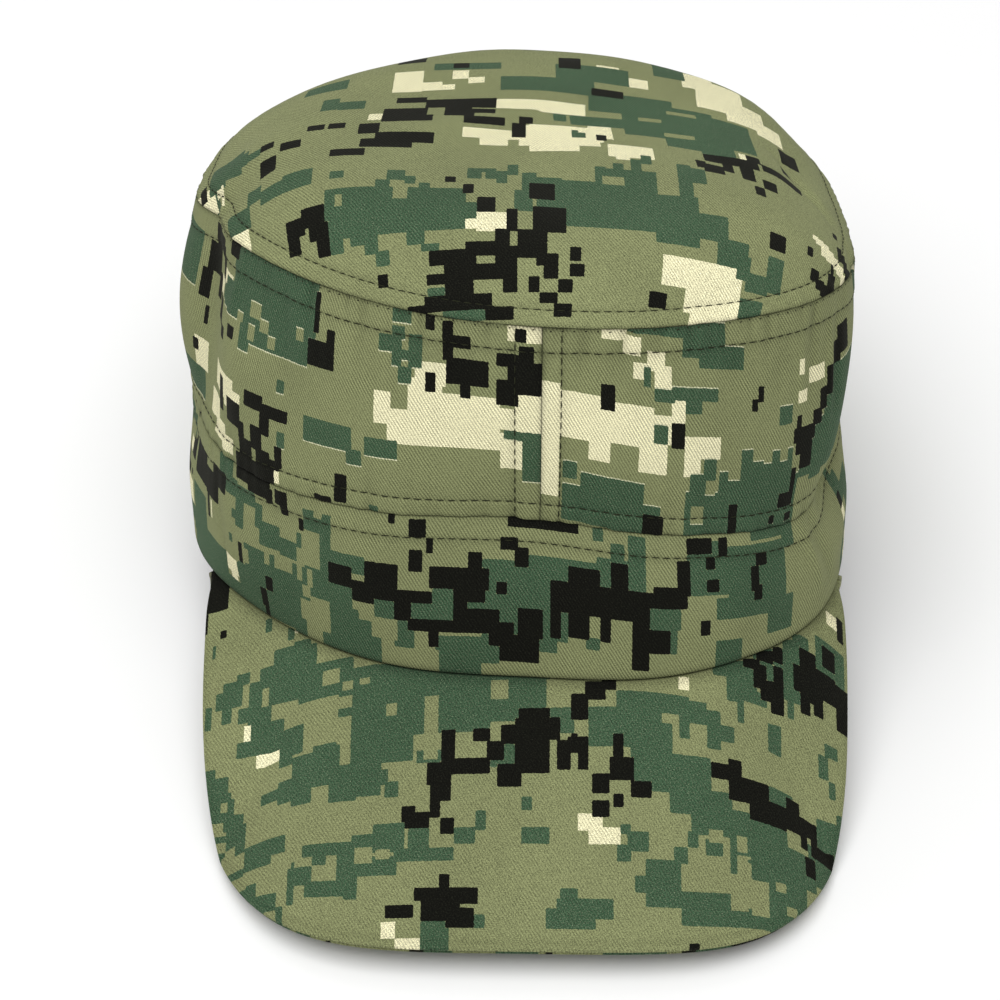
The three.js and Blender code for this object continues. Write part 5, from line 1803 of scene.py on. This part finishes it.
@dataclass(frozen=True)
class Studio:
    """The pale floor, the soft lights and the camera."""

    form: CapForm
    placement: Placement
    distance: float = 1.0
    elevation: float = 30.0
    focal_pixels: float = 3527.0
    rim_pixel: tuple[float, float] = (527.0, 485.0)
    picture: float = 1000.0
    sky: float = 0.43
    aim_height: float = 0.06
    lamps: tuple[Lamp, ...] = (
        Lamp("key", (-0.24, -0.62, 1.85), 1.9, 33.5),
        Lamp("fill", (1.3, -0.5, 0.9), 1.2, 1.0),
        Lamp("back", (-0.5, 1.2, 1.4), 1.2, 4.0),
    )

    def floor(self) -> None:
        """A wide pale floor."""
        bpy.ops.mesh.primitive_plane_add(size=24.0, location=(0.0, 0.0, 0.0))
        made = bpy.context.object
        made.name = "floor"
        paper = bpy.data.materials.new("floor_paper")
        paper.use_nodes = True
        graph = Graph(paper.node_tree)
        shader = paper.node_tree.nodes["Principled BSDF"]
        grain = graph.noise(graph.node("ShaderNodeTexCoord").outputs["Object"], 3.0, 3.0).outputs["Fac"]
        light = graph.math("MULTIPLY_ADD", grain, 0.02, 0.93)
        graph.feed(shader.inputs["Base Color"], graph.vector(light, light, light))
        shader.inputs["Roughness"].default_value = 0.9
        made.data.materials.append(paper)

    def lights(self) -> None:
        """A large key near the camera, two fills and an even sky."""
        world = bpy.data.worlds.new("soft_sky")
        bpy.context.scene.world = world
        world.use_nodes = True
        background = world.node_tree.nodes["Background"]
        background.inputs["Color"].default_value = (1.0, 1.0, 1.0, 1.0)
        background.inputs["Strength"].default_value = self.sky
        bpy.context.scene.view_settings.view_transform = "Standard"
        for lamp in self.lamps:
            lamp.build(Vector((0.0, 0.0, self.aim_height)))

    def camera(self) -> None:
        """The camera at the photograph's angle to the cap."""
        whole = self.placement.matrix()
        turned = whole.to_3x3()
        rise = math.radians(self.elevation)
        centre = whole.translation
        back = turned @ Vector((0.0, -math.cos(rise), math.sin(rise)))
        right = turned @ Vector((1.0, 0.0, 0.0))
        up = back.cross(right)
        shift_u = (self.rim_pixel[0] - self.picture / 2) / self.focal_pixels * self.distance
        shift_v = (self.rim_pixel[1] - self.picture / 2) / self.focal_pixels * self.distance
        aim = centre - right * shift_u + up * shift_v
        place = centre + back * self.distance
        lens = bpy.data.cameras.new("camera")
        lens.sensor_width = 36.0
        lens.lens = self.focal_pixels / self.picture * lens.sensor_width
        lens.clip_start = 0.05
        made = bpy.data.objects.new("camera", lens)
        made.location = place
        made.rotation_euler = (aim - place).to_track_quat("-Z", "Y").to_euler()
        bpy.context.scene.collection.objects.link(made)
        bpy.context.scene.camera = made


@dataclass
class Cap:
    """The whole cap: its pieces of cloth and the rows of stitches that hold them."""

    form: CapForm = field(default_factory=CapForm)

    def dress(self) -> None:
        """Builds every piece and ties it to the frame."""
        placement = Placement(self.form)
        finish = TwillFinish()
        wall = Wall(self.form, placement, finish, creases=WALL_CREASES)
        top_finish = replace(finish, groove_shade=0.5, grain_shade=2.3)
        crown = CrownTop(self.form, placement, top_finish, creases=TOP_CREASES)
        peak = Peak(self.form, placement, replace(finish, groove_shade=0.34, grain_shade=2.3))
        for cut, made in (
            (Cut.TOP, crown.build()),
            (Cut.LEFT, wall.panel(Cut.LEFT)),
            (Cut.RIGHT, wall.panel(Cut.RIGHT)),
            (Cut.BAND, wall.band()),
            (Cut.PEAK_UPPER, peak.build(Cut.PEAK_UPPER)),
            (Cut.PEAK_UNDER, peak.build(Cut.PEAK_UNDER)),
        ):
            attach(made, "root")
            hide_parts(cut.value)
            LOG.info("%s: %d faces", made.name, len(made.data.polygons))
        self.sew(placement, wall, crown)

    def sew(self, placement: Placement, wall: Wall, crown: CrownTop) -> None:
        """Adds the rows of stitches."""
        thread = ThreadFinish().material()
        stitching = Stitching(placement)
        rows = wall.stitch_lines()
        rows["crown_top"] = crown.stitch_lines()
        tacks = replace(stitching, gap=2.2, radius=0.26, lift=-0.12)
        for name, lines in rows.items():
            made = (tacks if name == "panel_seam" else stitching).row(f"{name}_stitches", lines)
            made.data.materials.append(thread)
            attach(made, "root")
            LOG.info("%s: %d faces", made.name, len(made.data.polygons))


def main() -> None:
    """Builds the studio and the cap."""
    logging.basicConfig(level=logging.INFO, format="%(name)s: %(message)s")
    cap = Cap()
    studio = Studio(cap.form, Placement(cap.form))
    studio.camera()
    studio.floor()
    studio.lights()
    cap.dress()


if __name__ == "__main__":
    main()
